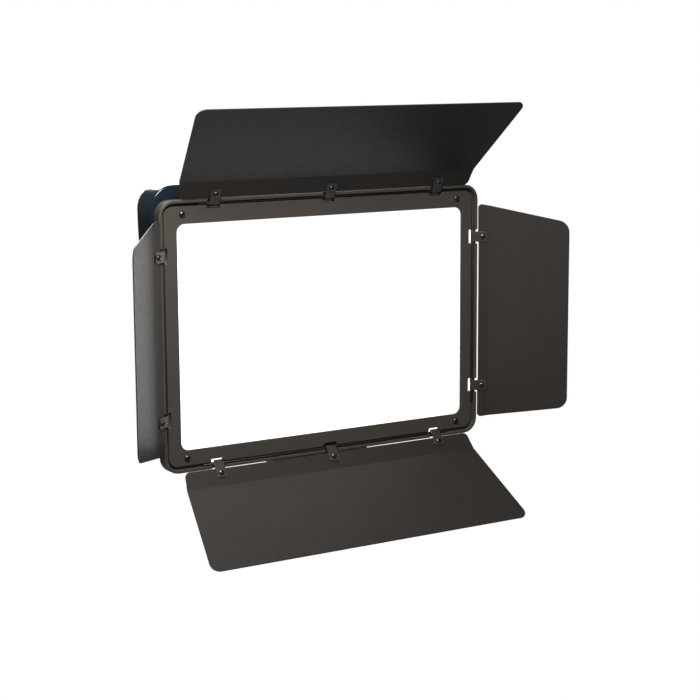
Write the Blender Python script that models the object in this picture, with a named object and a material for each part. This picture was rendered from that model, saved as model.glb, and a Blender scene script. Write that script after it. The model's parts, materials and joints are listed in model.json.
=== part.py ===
"""LED panel light with four barn doors, on a tilting adapter for a lighting stand.

The world origin is the centre of the adapter's socket mouth, where the stand's spigot enters.
+Z is up, the light shines towards -Y, and +X is to the right as the lit side is seen.
Sizes are written in millimetres. add_part and add_empty turn them into metres.

The head is drawn in its own frame, whose origin is the centre of the bezel's front face:
x to the right, y backwards into the light, z up. Pieces along the bezel's four sides are drawn
once in a side frame: t along the side, d backwards, u outwards from the bezel's edge.
"""

import math

import bmesh
import bpy
from mathutils import Matrix, Vector

MM = 0.001
GAP = 0.3  # left between pieces that rest on each other

# The head's place over the stand.
TILT_Z = 46.0
TILT_BACK = 31.5
TILT_DOWN = 122.5

# Front bezel and its window.
FACE_W = 310.0
FACE_H = 219.0
FACE_CORNER = 8.0
WINDOW_W = 286.4
WINDOW_H = 191.0
WINDOW_DROP = 0.7
WINDOW_CORNER = 7.0
BEZEL_T = 1.5
BEZEL_SCREW_X = 138.2
BEZEL_SCREW_Z = 102.8

# Front housing: a rim round the bezel, a groove for the hinge rods, and a drawn-in neck behind them.
RIM_OUT = 5.4
RIM_WALL = 2.6
RIM_FRONT = -2.4
NOTCH_D = 0.8
LEDGE_IN = -2.8
LEDGE_T = 2.6
GROOVE_D = 2.4
WALL_BACK = 7.6
NECK_OUT = 0.0
NECK_IN = -2.0
HOUSING_BACK = 16.0

# Hinges.
HINGE_U = 1.5
HINGE_D = 0.0
ROD_R = 0.9
EYE_IN = 1.2
EYE_OUT = 1.8
CLIP_W = 9.4
CLIP_REACH = 13.4
CLIP_SCREW_R = 8.8
SLOT_W = 13.0
SLOT_FRONT = -4.0
ROD_PAST_CLIP = 14.0
WIDE_CLIPS = (-112.0, 0.0, 112.0)
TALL_CLIPS = (-69.0, 69.0)
HINGE_SHIFT = {"top": 2.8, "right": 1.8, "bottom": -2.8, "left": 0.0}  # along each side

# Barn doors. A door's angle is 0 when its flange would lie flat over the window, and 180 when
# the flange stands straight out beside the bezel.
DOOR_T = 1.0
DOOR_INNER = 0.9
FLANGE_START = 4.8
FLANGE_RELIEF = 5.6
FOLD_ROUND = 3.0
BEND = 20.0
WIDE_FOLD = 20.8
WIDE_LEAF = 85.5
WIDE_HALF_IN = 144.3
WIDE_HALF_OUT = 160.5
TALL_FOLD = 14.5
TALL_LEAF = 76.5
TALL_HALF_IN = 100.0
TALL_HALF_OUT = 84.3
DOOR_CORNER = 9.0
FLANGE_CORNER = 4.0
REST_ANGLE = {"top": 155.0, "right": 144.0, "bottom": 147.0, "left": 147.5}

# Rear shell.
SHELL_FRONT = 16.4
SHELL_BACK = 47.0
SHELL_HALF = 158.9
SHELL_TOP = 126.2
SHELL_BOTTOM = -101.5
SHELL_CORNER = 21.0
SHELL_WAIST = 4.0
SHELL_WALL = 2.5
SHELL_STEPS = 6  # steps round each corner of the shell, and along each side
OPENING_HALF = 148.0
OPENING_TOP = 99.0
OPENING_BOTTOM = -92.0
OPENING_CORNER = 6.0

# Light engine, from the window backwards.
DIFFUSER = (149.0, 98.0, 1.8, 4.8)
TRAY = (149.0, 98.0, 5.1, 14.0)
TRAY_WALL = 1.2
LED_BOARD = (146.0, 95.0, 10.9, 12.5)
LINER = (-2.9, -2.3, 9.3, 15.6)
SINK_HALF_W = 146.0
SINK_HALF_H = 90.0
SINK_FRONT = 14.3
SINK_T = 1.5
FIN_H = 9.0
FIN_COUNT = 9

# Rear controls: centre x, centre z on the shell's back.
DISPLAY = (0.0, 52.0)
DISPLAY_W = 50.0
DISPLAY_H = 24.0
KNOBS = {"brightness": (-24.0, 12.0), "colour": (24.0, 12.0)}
KNOB_R = 9.5
KNOB_H = 12.0
BUTTON = (0.0, 20.0)
BUTTON_R = 4.0
ROCKER = (-17.0, -32.0)
ROCKER_W = 19.0
ROCKER_H = 12.6
ROCKER_TILT = 9.0
ROCKER_PIVOT = 2.0
JACK = (19.0, -32.0)
BATTERY_X = 98.0
BATTERY_Z = 10.0
BATTERY_W = 40.0
BATTERY_H = 68.0
RAIL_H = 7.0
LATCH_DROP = 22.0

# Stand adapter.
BRACKET_HALF = 36.0
BRACKET_T = 3.0
EAR_R = 13.0
SKIRT_FRONT = 16.8
SKIRT_T = 2.0
BARREL_R = 10.0
BARREL_HALF = 28.5
BOLT_R = 4.0
BORE_R = 4.4
WASHER_T = 3.4
SOCKET_R = 8.2
SOCKET_DEPTH = 26.0
SLEEVE_R = 12.5
SLEEVE_H = 30.0
THUMB_Z = 14.0

ROUND = 20  # sides of a large turned piece
SMALL = 12  # sides of a screw


# ---- Shapes: each is (points, faces), in millimetres ----


def loft(loops, ring=False):
    """Skin over loops with the same number of points. A ring closes on itself, and any other is capped."""
    count = len(loops[0])
    points = [point for loop in loops for point in loop]
    pairs = list(zip(range(len(loops)), range(1, len(loops))))
    if ring:
        pairs.append((len(loops) - 1, 0))
    faces = []
    for first, second in pairs:
        for i in range(count):
            j = (i + 1) % count
            faces.append((first * count + i, first * count + j, second * count + j, second * count + i))
    if not ring:
        last = (len(loops) - 1) * count
        faces.append(tuple(range(count)))
        faces.append(tuple(range(last, last + count)))
    return points, faces


def place(a, b, h, axis):
    return {"x": (h, a, b), "y": (a, h, b), "z": (a, b, h)}[axis]


def extrude(outline, low, high, axis):
    """A flat outline of (a, b) pairs, carried from low to high along an axis."""
    return loft([[place(a, b, h, axis) for a, b in outline] for h in (low, high)])


def box(low, high):
    outline = [(low[0], low[1]), (high[0], low[1]), (high[0], high[1]), (low[0], high[1])]
    return extrude(outline, low[2], high[2], "z")


def turned(profile, axis, centre=(0.0, 0.0), sides=SMALL, ring=False):
    """A profile of (radius, height) pairs, turned about a line along axis through centre."""
    loops = []
    for radius, height in profile:
        turns = [math.tau * i / sides for i in range(sides)]
        loops.append(
            [
                place(centre[0] + radius * math.cos(turn), centre[1] + radius * math.sin(turn), height, axis)
                for turn in turns
            ]
        )
    return loft(loops, ring)


def arc(centre, radius, start, end, steps):
    """Points on an arc, with its angles in degrees."""
    angles = [math.radians(start + (end - start) * i / steps) for i in range(steps + 1)]
    return [(centre[0] + radius * math.cos(a), centre[1] + radius * math.sin(a)) for a in angles]


def rounded(half_w, top, bottom, radius, steps=5):
    """A rectangle with round corners, from its top right corner round to the right side."""
    corners = (
        ((half_w - radius, top - radius), 0),
        ((radius - half_w, top - radius), 90),
        ((radius - half_w, bottom + radius), 180),
        ((half_w - radius, bottom + radius), 270),
    )
    return [p for centre, start in corners for p in arc(centre, radius, start, start + 90, steps)]


def joined(pieces):
    """Several shapes as one list of points and faces."""
    points = []
    faces = []
    for piece_points, piece_faces in pieces:
        offset = len(points)
        points.extend(piece_points)
        faces.extend(tuple(i + offset for i in face) for face in piece_faces)
    return points, faces


def moved(piece, matrix):
    return [tuple(matrix @ Vector(point)) for point in piece[0]], piece[1]


def shifted(piece, x=0.0, y=0.0, z=0.0):
    return moved(piece, Matrix.Translation((x, y, z)))


# ---- Scene helpers ----


def clear_scene():
    for obj in list(bpy.data.objects):
        bpy.data.objects.remove(obj)


def material(name, colour, roughness, metallic=0.0):
    mat = bpy.data.materials.new(name)
    mat.use_nodes = True
    shader = mat.node_tree.nodes["Principled BSDF"]
    shader.inputs["Base Color"].default_value = (*colour, 1.0)
    shader.inputs["Roughness"].default_value = roughness
    shader.inputs["Metallic"].default_value = metallic
    mat.diffuse_color = (*colour, 1.0)
    return mat


def add_empty(name, parent=None, location=(0.0, 0.0, 0.0), rotation=(0.0, 0.0, 0.0)):
    """An empty at a place in millimetres, turned by an XYZ rotation in degrees."""
    empty = bpy.data.objects.new(name, None)
    empty.location = [value * MM for value in location]
    empty.rotation_euler = [math.radians(value) for value in rotation]
    empty.parent = parent
    bpy.context.scene.collection.objects.link(empty)
    return empty


def add_part(name, piece, mat, parent=None, location=(0.0, 0.0, 0.0), smooth=40.0):
    """A named object from a shape, with its faces turned outwards."""
    points, faces = piece
    mesh = bpy.data.meshes.new(name)
    mesh.from_pydata([[value * MM for value in point] for point in points], [], faces)
    shape = bmesh.new()
    shape.from_mesh(mesh)
    bmesh.ops.recalc_face_normals(shape, faces=shape.faces)
    shape.to_mesh(mesh)
    shape.free()
    mesh.shade_smooth()
    mesh.set_sharp_from_angle(angle=math.radians(smooth))
    if mat:
        mesh.materials.append(mat)
    obj = bpy.data.objects.new(name, mesh)
    obj.location = [value * MM for value in location]
    obj.parent = parent
    bpy.context.scene.collection.objects.link(obj)
    return obj


def boolean(obj, pieces, operation="DIFFERENCE", label=""):
    """Cut pieces from an object, or weld them to it. They are in the object's own frame."""
    name = label or operation.lower()
    at = [value / MM for value in obj.location]
    tool = add_part(f"{obj.name}_{name}", joined(pieces), None, obj.parent, at)
    tool.hide_render = True
    tool.display_type = "WIRE"
    modifier = obj.modifiers.new(name.title(), "BOOLEAN")
    modifier.operation = operation
    modifier.solver = "EXACT"
    modifier.object = tool


# ---- Side frames ----

SIDE_TURN = {"top": 0.0, "right": 90.0, "bottom": 180.0, "left": -90.0}


def edge_distance(side):
    return FACE_H / 2 if side in ("top", "bottom") else FACE_W / 2


def clip_places(side):
    return WIDE_CLIPS if side in ("top", "bottom") else TALL_CLIPS


def side_matrix(side):
    """From a side frame (t, d, u) to the head's frame."""
    turn = Matrix.Rotation(math.radians(SIDE_TURN[side]), 4, "Y")
    return turn @ Matrix.Translation((0.0, 0.0, edge_distance(side)))


def slot_cutters(outer, depth):
    """One box for each clip, from inside the bezel's border out to a distance from its edge."""
    cutters = []
    for side in SIDE_TURN:
        for t in clip_places(side):
            middle = t + HINGE_SHIFT[side]
            low = (middle - SLOT_W / 2, SLOT_FRONT, LEDGE_IN)
            high = (middle + SLOT_W / 2, depth, outer)
            cutters.append(moved(box(low, high), side_matrix(side)))
    return cutters


def corner_places():
    return [(sx * BEZEL_SCREW_X, sz * BEZEL_SCREW_Z) for sx in (-1, 1) for sz in (-1, 1)]


# ---- Front ----


def frame_loop(offset, depth):
    """The bezel's outline grown by an offset, at a depth."""
    half_h = FACE_H / 2 + offset
    outline = rounded(FACE_W / 2 + offset, half_h, -half_h, FACE_CORNER + offset)
    return [(x, depth, z) for x, z in outline]


def plate_loop(half_w, half_h, depth, radius=4.0):
    """A rounded rectangle centred on the window, at a depth."""
    outline = rounded(half_w, half_h - WINDOW_DROP, -half_h - WINDOW_DROP, radius)
    return [(x, depth, z) for x, z in outline]


def make_bezel(mat, head):
    loops = [
        frame_loop(-0.4, 0.0),
        frame_loop(0.0, 0.4),
        frame_loop(0.0, BEZEL_T),
        plate_loop(WINDOW_W / 2, WINDOW_H / 2, BEZEL_T, WINDOW_CORNER),
        plate_loop(WINDOW_W / 2, WINDOW_H / 2, 0.3, WINDOW_CORNER),
        plate_loop(WINDOW_W / 2 + 0.3, WINDOW_H / 2 + 0.3, 0.0, WINDOW_CORNER + 0.3),
    ]
    bezel = add_part("front_bezel", loft(loops, ring=True), mat, head)
    holes = [turned([(1.7, -2.0), (1.7, 4.0)], "y", at) for at in corner_places()]
    boolean(bezel, slot_cutters(3.0, 4.0) + holes)


def make_housing(mat, head):
    """The rim, the rods' groove, the ledge under the bezel, the neck behind it, and four screw lugs."""
    inner = RIM_OUT - RIM_WALL
    seat = BEZEL_T + GAP
    profile = [
        (RIM_OUT - 0.5, RIM_FRONT),
        (RIM_OUT, RIM_FRONT + 0.5),
        (RIM_OUT, WALL_BACK),
        (NECK_OUT, WALL_BACK),
        (NECK_OUT, HOUSING_BACK),
        (NECK_IN, HOUSING_BACK),
        (NECK_IN, seat + LEDGE_T),
        (LEDGE_IN, seat + LEDGE_T),
        (LEDGE_IN, seat),
        (0.2, seat),
        (0.2, GROOVE_D),
        (inner, GROOVE_D),
        (inner, RIM_FRONT),
    ]
    housing = add_part("front_housing", loft([frame_loop(u, d) for u, d in profile], ring=True), mat, head)
    lugs = []
    for x, z in corner_places():
        side = math.copysign(1.0, z)
        far = z + side * 5.6
        near = z - side * 3.4
        lugs.append(box((x - 4.8, seat, min(near, far)), (x + 4.8, 9.0, max(near, far))))
    boolean(housing, lugs, "UNION")
    holes = [turned([(1.7, 0.0), (1.7, 8.2)], "y", at) for at in corner_places()]
    boolean(housing, slot_cutters(inner + 0.8, 6.5) + holes)
    boolean(housing, slot_cutters(RIM_OUT + 1.0, NOTCH_D), label="notches")


def screw_shape(head_r, head_h, shank_r, length, axis):
    """A pan-head screw with its head's underside at 0, its shank along the axis and a round recess."""
    profile = [
        (head_r * 0.45, -head_h + 0.9),
        (head_r * 0.45, -head_h),
        (head_r * 0.75, -head_h),
        (head_r, -head_h * 0.55),
        (head_r, 0.0),
        (shank_r, 0.0),
        (shank_r, length - 0.5),
        (shank_r * 0.6, length),
    ]
    return turned(profile, axis, sides=10)


def make_bezel_screws(mat, head):
    names = ("lower_left", "upper_left", "lower_right", "upper_right")
    for name, (x, z) in zip(names, corner_places()):
        screw = screw_shape(2.8, 1.6, 1.4, 7.0, "y")
        add_part(f"bezel_screw_{name}", screw, mat, head, (x, -GAP, z))


def make_hinge_rods(mat, sides):
    """The rod's end lies inside the groove, past its last clip."""
    for side, frame in sides.items():
        half = clip_places(side)[-1] + ROD_PAST_CLIP
        tip = ROD_R * 0.6
        profile = [(tip, -half), (ROD_R, 0.4 - half), (ROD_R, half - 0.4), (tip, half)]
        add_part(f"hinge_rod_{side}", turned(profile, "x"), mat, frame)


# ---- Light engine ----


def make_light_engine(mats, head):
    half_w, half_h, front, back = DIFFUSER
    diffuser = loft([plate_loop(half_w, half_h, d) for d in (front, back)])
    add_part("diffuser_plate", diffuser, mats["diffuser"], head)
    half_w, half_h, front, back = TRAY
    inner_w = half_w - TRAY_WALL
    inner_h = half_h - TRAY_WALL
    tray = loft(
        [
            plate_loop(half_w, half_h, back),
            plate_loop(half_w, half_h, front),
            plate_loop(inner_w, inner_h, front, 3.0),
            plate_loop(inner_w, inner_h, back - TRAY_WALL, 3.0),
        ]
    )
    add_part("reflector_tray", tray, mats["white"], head)
    half_w, half_h, front, back = LED_BOARD
    board = loft([plate_loop(half_w, half_h, d, 2.5) for d in (front, back)])
    add_part("led_board", board, mats["board"], head)
    near, far, front, back = LINER
    profile = [(far, front), (far, back), (near, back), (near, front)]
    add_part("light_liner", loft([frame_loop(u, d) for u, d in profile], ring=True), mats["white"], head)


def make_heat_sink(mat, head):
    """A plate with upright fins, drawn as a comb and carried upwards."""
    back = SINK_FRONT + SINK_T
    pitch = 2 * SINK_HALF_W * 0.9 / (FIN_COUNT - 1)
    outline = [(-SINK_HALF_W, SINK_FRONT), (SINK_HALF_W, SINK_FRONT), (SINK_HALF_W, back)]
    for i in reversed(range(FIN_COUNT)):
        x = (i - (FIN_COUNT - 1) / 2) * pitch
        outline += [(x + 1.0, back), (x + 0.7, back + FIN_H), (x - 0.7, back + FIN_H), (x - 1.0, back)]
    outline.append((-SINK_HALF_W, back))
    add_part("heat_sink", extrude(outline, -SINK_HALF_H, SINK_HALF_H, "z"), mat, head)


# ---- Rear shell and what is on it ----


def shell_loop(inset, depth):
    """The shell's outline: round corners, and sides drawn in between them."""
    half = SHELL_HALF - inset
    top = SHELL_TOP - inset
    bottom = SHELL_BOTTOM + inset
    radius = SHELL_CORNER - inset
    middle = (top + bottom) / 2
    reach = (top - bottom) / 2 - radius
    loop = []
    for sx, start in ((1, 0), (-1, 90), (-1, 180), (1, 270)):
        upper = start in (0, 90)
        centre = (sx * (half - radius), top - radius if upper else bottom + radius)
        loop.extend((x, depth, z) for x, z in arc(centre, radius, start, start + 90, SHELL_STEPS))
        if start in (90, 270):
            for i in range(1, SHELL_STEPS):
                share = i / SHELL_STEPS
                z = middle + reach * (1 - 2 * share) * (1 if start == 90 else -1)
                waist = SHELL_WAIST * math.sin(math.pi * share) ** 2
                loop.append((sx * (half - waist), depth, z))
    return loop


def opening_loop(depth):
    """The shell's front opening, with its points spread as on shell_loop."""
    radius = OPENING_CORNER
    top = OPENING_TOP - radius
    bottom = OPENING_BOTTOM + radius
    loop = []
    for sx, start in ((1, 0), (-1, 90), (-1, 180), (1, 270)):
        centre = (sx * (OPENING_HALF - radius), top if start in (0, 90) else bottom)
        loop.extend((x, depth, z) for x, z in arc(centre, radius, start, start + 90, SHELL_STEPS))
        if start in (90, 270):
            for i in range(1, SHELL_STEPS):
                step = (top - bottom) * i / SHELL_STEPS
                loop.append((sx * OPENING_HALF, depth, top - step if start == 90 else bottom + step))
    return loop


def vent_cutters():
    """Two banks of level slots above the battery plates, and a row of slots over the controls."""
    cutters = []
    for sx in (-1, 1):
        for i in range(5):
            slot = box((-20.0, SHELL_BACK - 6.0, -1.5), (20.0, SHELL_BACK + 3.0, 1.5))
            cutters.append(shifted(slot, sx * BATTERY_X, 0.0, 66.0 + 7.5 * i))
    for i in range(4):
        slot = box((-26.0, SHELL_BACK - 6.0, -1.5), (26.0, SHELL_BACK + 3.0, 1.5))
        cutters.append(shifted(slot, 0.0, 0.0, 82.0 + 7.5 * i))
    return cutters


def round_hole(at, radius, sides=ROUND):
    return turned([(radius, SHELL_BACK - 8.0), (radius, SHELL_BACK + 8.0)], "y", at, sides)


def square_hole(at, width, height):
    low = (at[0] - width / 2, SHELL_BACK - 8.0, at[1] - height / 2)
    high = (at[0] + width / 2, SHELL_BACK + 8.0, at[1] + height / 2)
    return box(low, high)


def latch_place(sx):
    return (sx * BATTERY_X, BATTERY_Z - LATCH_DROP)


def make_rear_shell(mat, head):
    inner_back = SHELL_BACK - SHELL_WALL
    lip = SHELL_FRONT + SHELL_WALL
    loops = [
        shell_loop(6.0, SHELL_BACK),
        shell_loop(2.2, SHELL_BACK - 1.2),
        shell_loop(0.6, SHELL_BACK - 3.2),
        shell_loop(0.0, SHELL_BACK - 6.0),
        shell_loop(0.0, SHELL_FRONT + 1.5),
        shell_loop(0.5, SHELL_FRONT + 0.4),
        shell_loop(1.5, SHELL_FRONT),
        opening_loop(SHELL_FRONT),
        opening_loop(lip),
        shell_loop(SHELL_WALL, lip),
        shell_loop(SHELL_WALL, inner_back - 3.5),
        shell_loop(SHELL_WALL + 3.5, inner_back),
    ]
    shell = add_part("rear_shell", loft(loops), mat, head)
    holes = [
        square_hole(DISPLAY, DISPLAY_W, DISPLAY_H),
        square_hole(ROCKER, ROCKER_W, ROCKER_H),
        round_hole(JACK, 5.4),
        round_hole(BUTTON, BUTTON_R + 0.5),
    ]
    holes += [round_hole(at, 3.4, SMALL) for at in KNOBS.values()]
    holes += [square_hole(latch_place(sx), 13.0, 7.6) for sx in (-1, 1)]
    boolean(shell, holes + vent_cutters())


def make_control_board(mats, head):
    """The rear board, with the display module and two encoders soldered on."""
    front = SHELL_BACK - 13.0
    sheet = box((-38.0, front, -4.0), (38.0, front + 1.6, 68.0))
    board = add_part("control_board", sheet, mats["board"], head)
    low = (DISPLAY[0] - 23.0, front + 1.0, DISPLAY[1] - 11.0)
    high = (DISPLAY[0] + 23.0, SHELL_BACK - 3.5, DISPLAY[1] + 11.0)
    parts = [box(low, high)]
    for x, z in KNOBS.values():
        parts.append(box((x - 6.0, front + 1.0, z - 6.0), (x + 6.0, front + 7.0, z + 6.0)))
    boolean(board, parts, "UNION")
    bores = [turned([(2.3, front + 3.0), (2.3, front + 12.0)], "y", at) for at in KNOBS.values()]
    boolean(board, bores)
    half_w = DISPLAY_W / 2 - GAP
    half_h = DISPLAY_H / 2 - GAP
    low = (DISPLAY[0] - half_w, SHELL_BACK - 2.8, DISPLAY[1] - half_h)
    high = (DISPLAY[0] + half_w, SHELL_BACK - 0.3, DISPLAY[1] + half_h)
    add_part("display_window", box(low, high), mats["glass"], head)
    driver = box((-60.0, 29.0, -86.0), (60.0, 30.6, -50.0))
    board = add_part("driver_board", driver, mats["board"], head)
    coils = [turned([(7.0, 30.0), (7.0, 41.0)], "y", (x, -68.0), 10) for x in (-42.0, -22.0)]
    boolean(board, coils + [box((0.0, 30.0, -82.0), (44.0, 38.0, -58.0))], "UNION")


def knob_shape():
    """A fluted knob on its shaft, with its axis along y and the shell's back at 0."""
    sides = 24
    profile = [(2.0, -8.0), (2.0, 1.0), (KNOB_R - 1.5, 1.0), (KNOB_R, 2.0), (KNOB_R - 0.8, KNOB_H)]
    loops = []
    for radius, height in profile:
        loop = []
        for i in range(sides):
            flute = 0.35 if i % 2 and radius > KNOB_R - 1.0 else 0.0
            turn = math.tau * i / sides
            loop.append(((radius - flute) * math.cos(turn), height, (radius - flute) * math.sin(turn)))
        loops.append(loop)
    loops.append([(x * 0.8, KNOB_H + 1.2, z * 0.8) for x, _, z in loops[-1]])
    return loft(loops)


def make_controls(mats, head):
    for name, (x, z) in KNOBS.items():
        add_part(f"{name}_knob", knob_shape(), mats["knob"], head, (x, SHELL_BACK, z))
    collar = BUTTON_R + 1.2
    profile = [(collar, -4.2), (collar, -3.2), (BUTTON_R, -3.2), (BUTTON_R, 1.6), (3.2, 2.2)]
    add_part("mode_button", turned(profile, "y"), mats["knob"], head, (BUTTON[0], SHELL_BACK, BUTTON[1]))
    make_rocker(mats, head)
    make_jack(mats["black"], head)


def make_rocker(mats, head):
    """A switch body with a rim on the shell's back, and a rocker that tips about a pin inside it."""
    half_w = ROCKER_W / 2 - GAP
    half_h = ROCKER_H / 2 - GAP
    at = (ROCKER[0], SHELL_BACK, ROCKER[1])
    block = box((-half_w, -12.0, -half_h), (half_w, 1.0, half_h))
    body = add_part("rocker_housing", block, mats["black"], head, at)
    rim = box((-half_w - 1.4, GAP, -half_h - 1.4), (half_w + 1.4, 1.6, half_h + 1.4))
    boolean(body, [rim], "UNION")
    well = box((1.4 - half_w, -10.6, 1.4 - half_h), (half_w - 1.4, 4.0, half_h - 1.4))
    boolean(body, [well])
    pivot_at = (ROCKER[0], SHELL_BACK - ROCKER_PIVOT, ROCKER[1])
    shape = rocker_shape(half_h - 1.8, half_w - 2.6)
    rocker = add_part("power_rocker", shape, mats["rocker"], head, pivot_at)
    rocker.rotation_euler = (0.0, 0.0, math.radians(ROCKER_TILT))


def rocker_shape(half_h, reach):
    """A rocker about its own pivot, with its pivot along z: a dished top over a short foot."""
    dish = [(reach * k / 4, 3.4 + 0.9 * (k / 4) ** 2) for k in range(-4, 5)]
    outline = dish + [(reach - 0.6, -1.8), (1.8, -4.4), (-1.8, -4.4), (0.6 - reach, -1.8)]
    return extrude(outline, -half_h, half_h, "z")


def make_jack(mat, head):
    """A round power socket with its centre pin."""
    profile = [
        (0.4, -1.0),
        (1.0, -1.6),
        (1.0, -9.0),
        (2.9, -9.0),
        (2.9, 1.2),
        (6.6, 1.2),
        (7.0, 0.8),
        (7.0, GAP),
        (5.1, GAP),
        (5.1, -11.0),
    ]
    add_part("dc_jack", turned(profile, "y", sides=ROUND), mat, head, (JACK[0], SHELL_BACK, JACK[1]))


def make_battery_plates(mats, head):
    """Plates with two lipped rails, in which a camera battery's foot slides, and a sprung latch."""
    half = BATTERY_W / 2
    lip = RAIL_H - 1.6
    outline = [
        (-half, 0.0),
        (half, 0.0),
        (half, RAIL_H),
        (half - 4.2, RAIL_H),
        (half - 4.2, lip),
        (half - 2.6, lip),
        (half - 2.6, 1.8),
        (2.6 - half, 1.8),
        (2.6 - half, lip),
        (4.2 - half, lip),
        (4.2 - half, RAIL_H),
        (-half, RAIL_H),
    ]
    for name, sx in (("left", -1), ("right", 1)):
        at = (sx * BATTERY_X, SHELL_BACK + GAP, BATTERY_Z)
        channel = extrude(outline, -BATTERY_H / 2, BATTERY_H / 2, "z")
        plate = add_part(f"battery_plate_{name}", channel, mats["black"], head, at)
        boolean(plate, [box((-6.5, -2.0, -LATCH_DROP - 3.8), (6.5, 4.0, 3.8 - LATCH_DROP))])
        x, z = latch_place(sx)
        wedge = [(-3.6, -3.3), (4.6, -3.3), (3.0, 3.3), (-3.6, 3.3)]
        latch = extrude(wedge, -6.0, 6.0, "x")
        add_part(f"battery_latch_{name}", latch, mats["knob"], head, (x, SHELL_BACK + GAP, z))


# ---- Barn doors ----


def fold_span(fold_r):
    """Where the fold starts and ends along the sheet. Its two straight runs would meet at fold_r."""
    bend = math.radians(BEND)
    start = fold_r - FOLD_ROUND * math.tan(bend / 2)
    return start, start + FOLD_ROUND * bend


def sheet_place(s, n, fold_r):
    """A point of the bent sheet: s along the sheet from the hinge, n from its middle to its inner face."""
    bend = math.radians(BEND)
    middle = DOOR_INNER - DOOR_T / 2
    start, folded = fold_span(fold_r)
    if s <= start:
        return s, middle + n
    turn = min((s - start) / FOLD_ROUND, bend)
    r = start + (FOLD_ROUND - n) * math.sin(turn)
    out = middle + FOLD_ROUND - (FOLD_ROUND - n) * math.cos(turn)
    rest = max(s - folded, 0.0)
    return r + rest * math.cos(bend), out + rest * math.sin(bend)


def door_shape(half_in, half_out, fold_r, leaf):
    """A sheet with a flange and a leaf between straight side edges, drawn in rows across the door."""
    start, folded = fold_span(fold_r)
    end = folded + leaf - (fold_r - start)

    def edge(s):
        return half_in + (half_out - half_in) * s / end

    rows = []
    for i in range(5):
        a = math.radians(90.0 * i / 4)
        s = FLANGE_START + FLANGE_CORNER * (1 - math.cos(a))
        rows.append((s, edge(s) - FLANGE_CORNER * (1 - math.sin(a))))
    for i in range(5):
        s = start + (folded - start) * i / 4
        rows.append((s, edge(s)))
    for i in range(7):
        a = math.radians(90.0 * i / 6)
        s = end - DOOR_CORNER * (1 - math.sin(a))
        rows.append((s, edge(s) - DOOR_CORNER * (1 - math.cos(a))))
    loops = []
    for s, half in rows:
        loop = []
        for t, n in ((-half, -DOOR_T / 2), (half, -DOOR_T / 2), (half, DOOR_T / 2), (-half, DOOR_T / 2)):
            r, out = sheet_place(s, n, fold_r)
            loop.append((t, -out, r))
        loops.append(loop)
    return loft(loops)


def clip_shape():
    """A sheet clip: an open eye round the hinge rod, and a plate with a screw hole."""
    steps = 9
    outer = arc((0.0, 0.0), EYE_OUT, 90.0, 345.0, steps)
    inner = arc((0.0, 0.0), EYE_IN, 345.0, 90.0, steps)
    outline = [(CLIP_REACH, EYE_OUT)] + outer + inner + [(CLIP_REACH, EYE_IN)]
    return extrude([(-n, r) for r, n in outline], -CLIP_W / 2, CLIP_W / 2, "x")


def make_doors(mats, sides):
    for side, frame in sides.items():
        hinge = add_empty(f"door_hinge_{side}", frame, rotation=(180.0 - REST_ANGLE[side], 0.0, 0.0))
        wide = side in ("top", "bottom")
        if wide:
            sheet = door_shape(WIDE_HALF_IN, WIDE_HALF_OUT, WIDE_FOLD, WIDE_LEAF)
        else:
            sheet = door_shape(TALL_HALF_IN, TALL_HALF_OUT, TALL_FOLD, TALL_LEAF)
        door = add_part(f"barn_door_{side}", sheet, mats["door"], hinge, smooth=25.0)
        places = clip_places(side)
        last = places[-1] - CLIP_W / 2
        holes = [turned([(1.7, -3.0), (1.7, 3.0)], "y", (t, CLIP_SCREW_R)) for t in places]
        relief = box((-last, -3.0, FLANGE_START - 2.0), (last, 3.0, FLANGE_RELIEF))
        boolean(door, holes + [relief])
        for number, t in enumerate(places, 1):
            clip = add_part(f"hinge_clip_{side}_{number}", clip_shape(), mats["clip"], hinge, (t, 0.0, 0.0))
            boolean(clip, [turned([(1.7, -3.0), (1.7, 0.0)], "y", (0.0, CLIP_SCREW_R), 10)])
            screw = screw_shape(2.6, 1.2, 1.3, 4.0, "y")
            at = (t, -EYE_OUT - GAP, CLIP_SCREW_R)
            add_part(f"clip_screw_{side}_{number}", screw, mats["screw"], hinge, at)


# ---- Stand adapter ----


def make_bracket(mat, head):
    """A folded bracket under the shell: a top plate, two ears round the tilt bolt and a front skirt."""
    top = SHELL_BOTTOM - GAP
    under = top - 2.5
    axis = (TILT_BACK, -TILT_DOWN)
    back = TILT_BACK + EAR_R
    plate = box((-BRACKET_HALF, SKIRT_FRONT, under), (BRACKET_HALF, back, top))
    bracket = add_part("stand_bracket", plate, mat, head)
    ear = arc(axis, EAR_R, 180.0, 360.0, 10) + [(back, under + 1.0), (TILT_BACK - EAR_R, under + 1.0)]
    ears = []
    for sx in (-1, 1):
        low, high = sorted((sx * BRACKET_HALF, sx * (BRACKET_HALF - BRACKET_T)))
        ears.append(extrude(ear, low, high, "x"))
    boolean(bracket, ears, "UNION", "ears")
    low = (-BRACKET_HALF, SKIRT_FRONT, 1.0 - TILT_DOWN)
    high = (BRACKET_HALF, SKIRT_FRONT + SKIRT_T, under + 1.2)
    boolean(bracket, [box(low, high)], "UNION", "skirt")
    bore = turned([(BORE_R, -BRACKET_HALF - 2.0), (BORE_R, BRACKET_HALF + 2.0)], "x", axis, ROUND)
    boolean(bracket, [bore], label="bore")


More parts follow.
